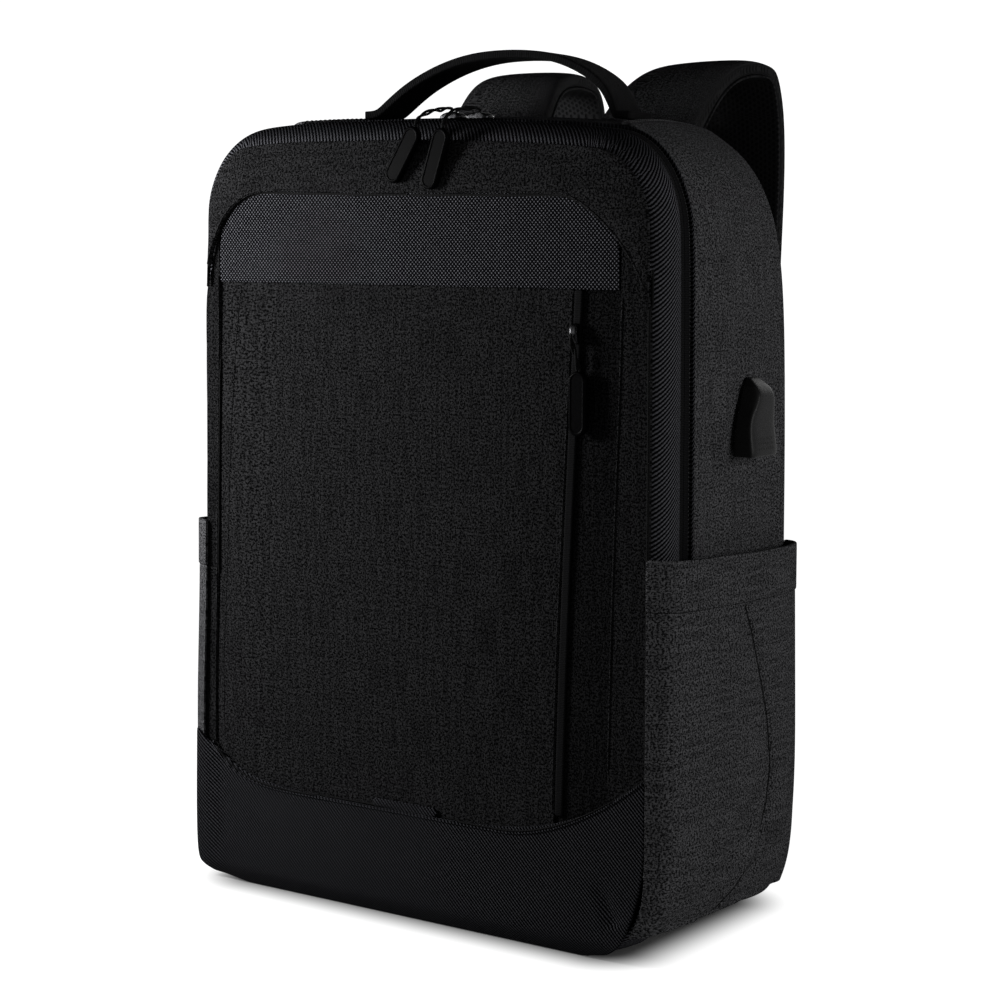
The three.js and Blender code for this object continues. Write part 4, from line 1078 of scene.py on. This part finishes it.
# ---------------------------------------------------------------------------
# Charging port: a moulded cover on the right side, light on its outer face, with painted shade on the
# faces of its open front, and painted dark discs for a grille of small holes at its foot.
# ---------------------------------------------------------------------------
plastic_finish = Finish("moulded_plastic", {"Specular IOR Level": 0.03})
plastic_finish.show({
    "Base Color": plastic_finish.mottled(0.02, (0.0026, 0.0026, 0.0027), (0.0031, 0.0031, 0.0032)),
    "Roughness": plastic_finish.cloud(0.002).between(0.2, 0.8) * 0.08 + 0.42,
    "Normal": plastic_finish.raised(plastic_finish.cloud(0.0006), 0.12, 0.08 * MM),
})
# Painted shade: a dark finish for the port's open front and the grille's holes.
painted_hollow_finish = Finish("painted_hollow_shade", {"Roughness": 0.8, "Specular IOR Level": 0.1})
painted_hollow_finish.show({
    "Base Color": painted_hollow_finish.mottled(0.003, (0.0006, 0.0006, 0.0006), (0.0014, 0.0014, 0.0014)),
})
port = sewn("usb_housing", "plastic", plastic_finish.material, crease=0.75)
port.data.materials.append(painted_hollow_finish.material)
for face in port.data.polygons:
    if face.normal.y < -0.72 and face.center.z < 0.295:
        face.material_index = 1

# The grille's holes are dark discs: painted shade.
hole_pitch = 0.0026
first_hole = (0.0115, 0.2625)
on_port = Laying([port], (-1, 0, 0))
grille = bmesh.new()
for row in range(3):
    for column in range(7):
        y, z = first_hole[0] + column * hole_pitch, first_hole[1] + row * hole_pitch
        where, normal = on_port.at(Vector((ASIDE, y, z)))
        made = bmesh.ops.create_circle(grille, cap_ends=True, segments=12, radius=0.75 * MM)
        turn = normal.to_track_quat("Z", "Y").to_matrix().to_4x4()
        place = Matrix.Translation(where + normal * 0.05 * MM) @ turn
        bmesh.ops.transform(grille, matrix=place, verts=made["verts"])
grille_mesh = bpy.data.meshes.new("port_grille")
grille.to_mesh(grille_mesh)
grille.free()
port_grille = bpy.data.objects.new("port_grille", grille_mesh)
bpy.context.collection.objects.link(port_grille)
settled(port_grille, None, "plastic", painted_hollow_finish.material)

# ---------------------------------------------------------------------------
# Carry handle: one length of black herringbone webbing that stands in a low
# arch over the top, its ends laid flat and sewn down.
# ---------------------------------------------------------------------------
quarter_width = 0.00625


def webbing_finish(name):
    """Herringbone: slanted ribs that turn back at each quarter of the width."""
    cloth = Finish(name, {"Roughness": 0.8, "Specular IOR Level": 0.01})
    across, along, _ = cloth.cloth_place()
    zigzag = abs((across / quarter_width).fraction() - 0.5) * quarter_width
    rib = abs(((along + zigzag * 1.6) * (math.pi / (1.5 * MM))).sine())
    fibre = cloth.speckle(across / 0.0008, along / 0.0008)
    cloth.show({
        "Base Color": cloth.blend(rib * fibre, (0.0001, 0.0001, 0.0001, 1), (0.0022, 0.0022, 0.0024, 1)),
        "Normal": cloth.raised(rib, 0.6, 0.35 * MM),
    })
    return cloth.material


black_webbing = webbing_finish("black_webbing")
handle = sewn("carry_handle", "webbing", black_webbing, crease=0.75)
place = points_of(handle)
handle_line = [(-0.092, 0.445), (-0.085, 0.447), (-0.066, 0.457), (-0.044, 0.467), (-0.010, 0.476)]
handle_line += [(0.030, 0.475), (0.055, 0.468), (0.070, 0.458), (0.079, 0.447), (0.090, 0.443)]
weave(handle, place[:, 1], run_along(handle_line, place[:, [0, 2]]))

# ---------------------------------------------------------------------------
# Shoulder straps: foam pads with a heather outer face turned over the edges,
# spacer mesh on the sides and underneath, and a ladder lock on webbing below.
# ---------------------------------------------------------------------------
strap_line = [(0.077, 0.438), (0.097, 0.464), (0.118, 0.478), (0.140, 0.481), (0.157, 0.476)]
strap_line += [(0.166, 0.452), (0.168, 0.407), (0.166, 0.357), (0.157, 0.300), (0.144, 0.239)]
strap_line += [(0.126, 0.182), (0.113, 0.145)]
# The strap's shade is painted light, set for this part.
strap_heather = heather_finish("strap_heather_cloth", 0.5)
strap_mesh = mesh_finish("strap_mesh", 2.9 * MM, 0.004)
for name in ("left", "right"):
    pad = sewn(f"strap_pad_{name}", "heather", strap_heather, crease=0.35)
    place = points_of(pad)
    turned = abs(np.array([vertex.normal.x for vertex in pad.data.vertices]))
    along = run_along(strap_line, place[:, [1, 2]]) * (1 - turned * 0.5)
    weave(pad, place[:, 0] + place[:, 1] * turned, along)
    pad.data.materials.append(strap_mesh)
    for face in pad.data.polygons:
        if abs(face.normal.x) > 0.86:
            face.material_index = 1
    under = sewn(f"strap_mesh_{name}", "air_mesh", strap_mesh, crease=0.35)
    place = points_of(under)
    weave(under, place[:, 0], run_along(strap_line, place[:, [1, 2]]))

    upright_weave(sewn(f"strap_webbing_{name}", "webbing", black_webbing))
    upright_weave(sewn(f"strap_tab_{name}", "heather", heather, levels=2))
    sewn(f"ladder_lock_{name}", "plastic", plastic_finish.material, levels=1, crease=0.7)

# ---------------------------------------------------------------------------
# The whole bag: stuffed a little fuller at its upper left corner and drawn in
# down its left side. This moves all the sewn pieces together.
# ---------------------------------------------------------------------------


def stuffed(place):
    """How far the contents push the cloth at a place."""
    left = ease(-place.x, 0.10, 0.15)
    upper = ease(-place.x, 0.03, 0.10) * ease(place.z, 0.37, 0.42)
    drawn = left * ease(place.z, 0.10, 0.20) * (1 - ease(place.z, 0.37, 0.40))
    return (0.0018 * drawn - 0.0006 * left * upper, 0, 0.0012 * upper)


for piece in pieces:
    drape(piece, stuffed)
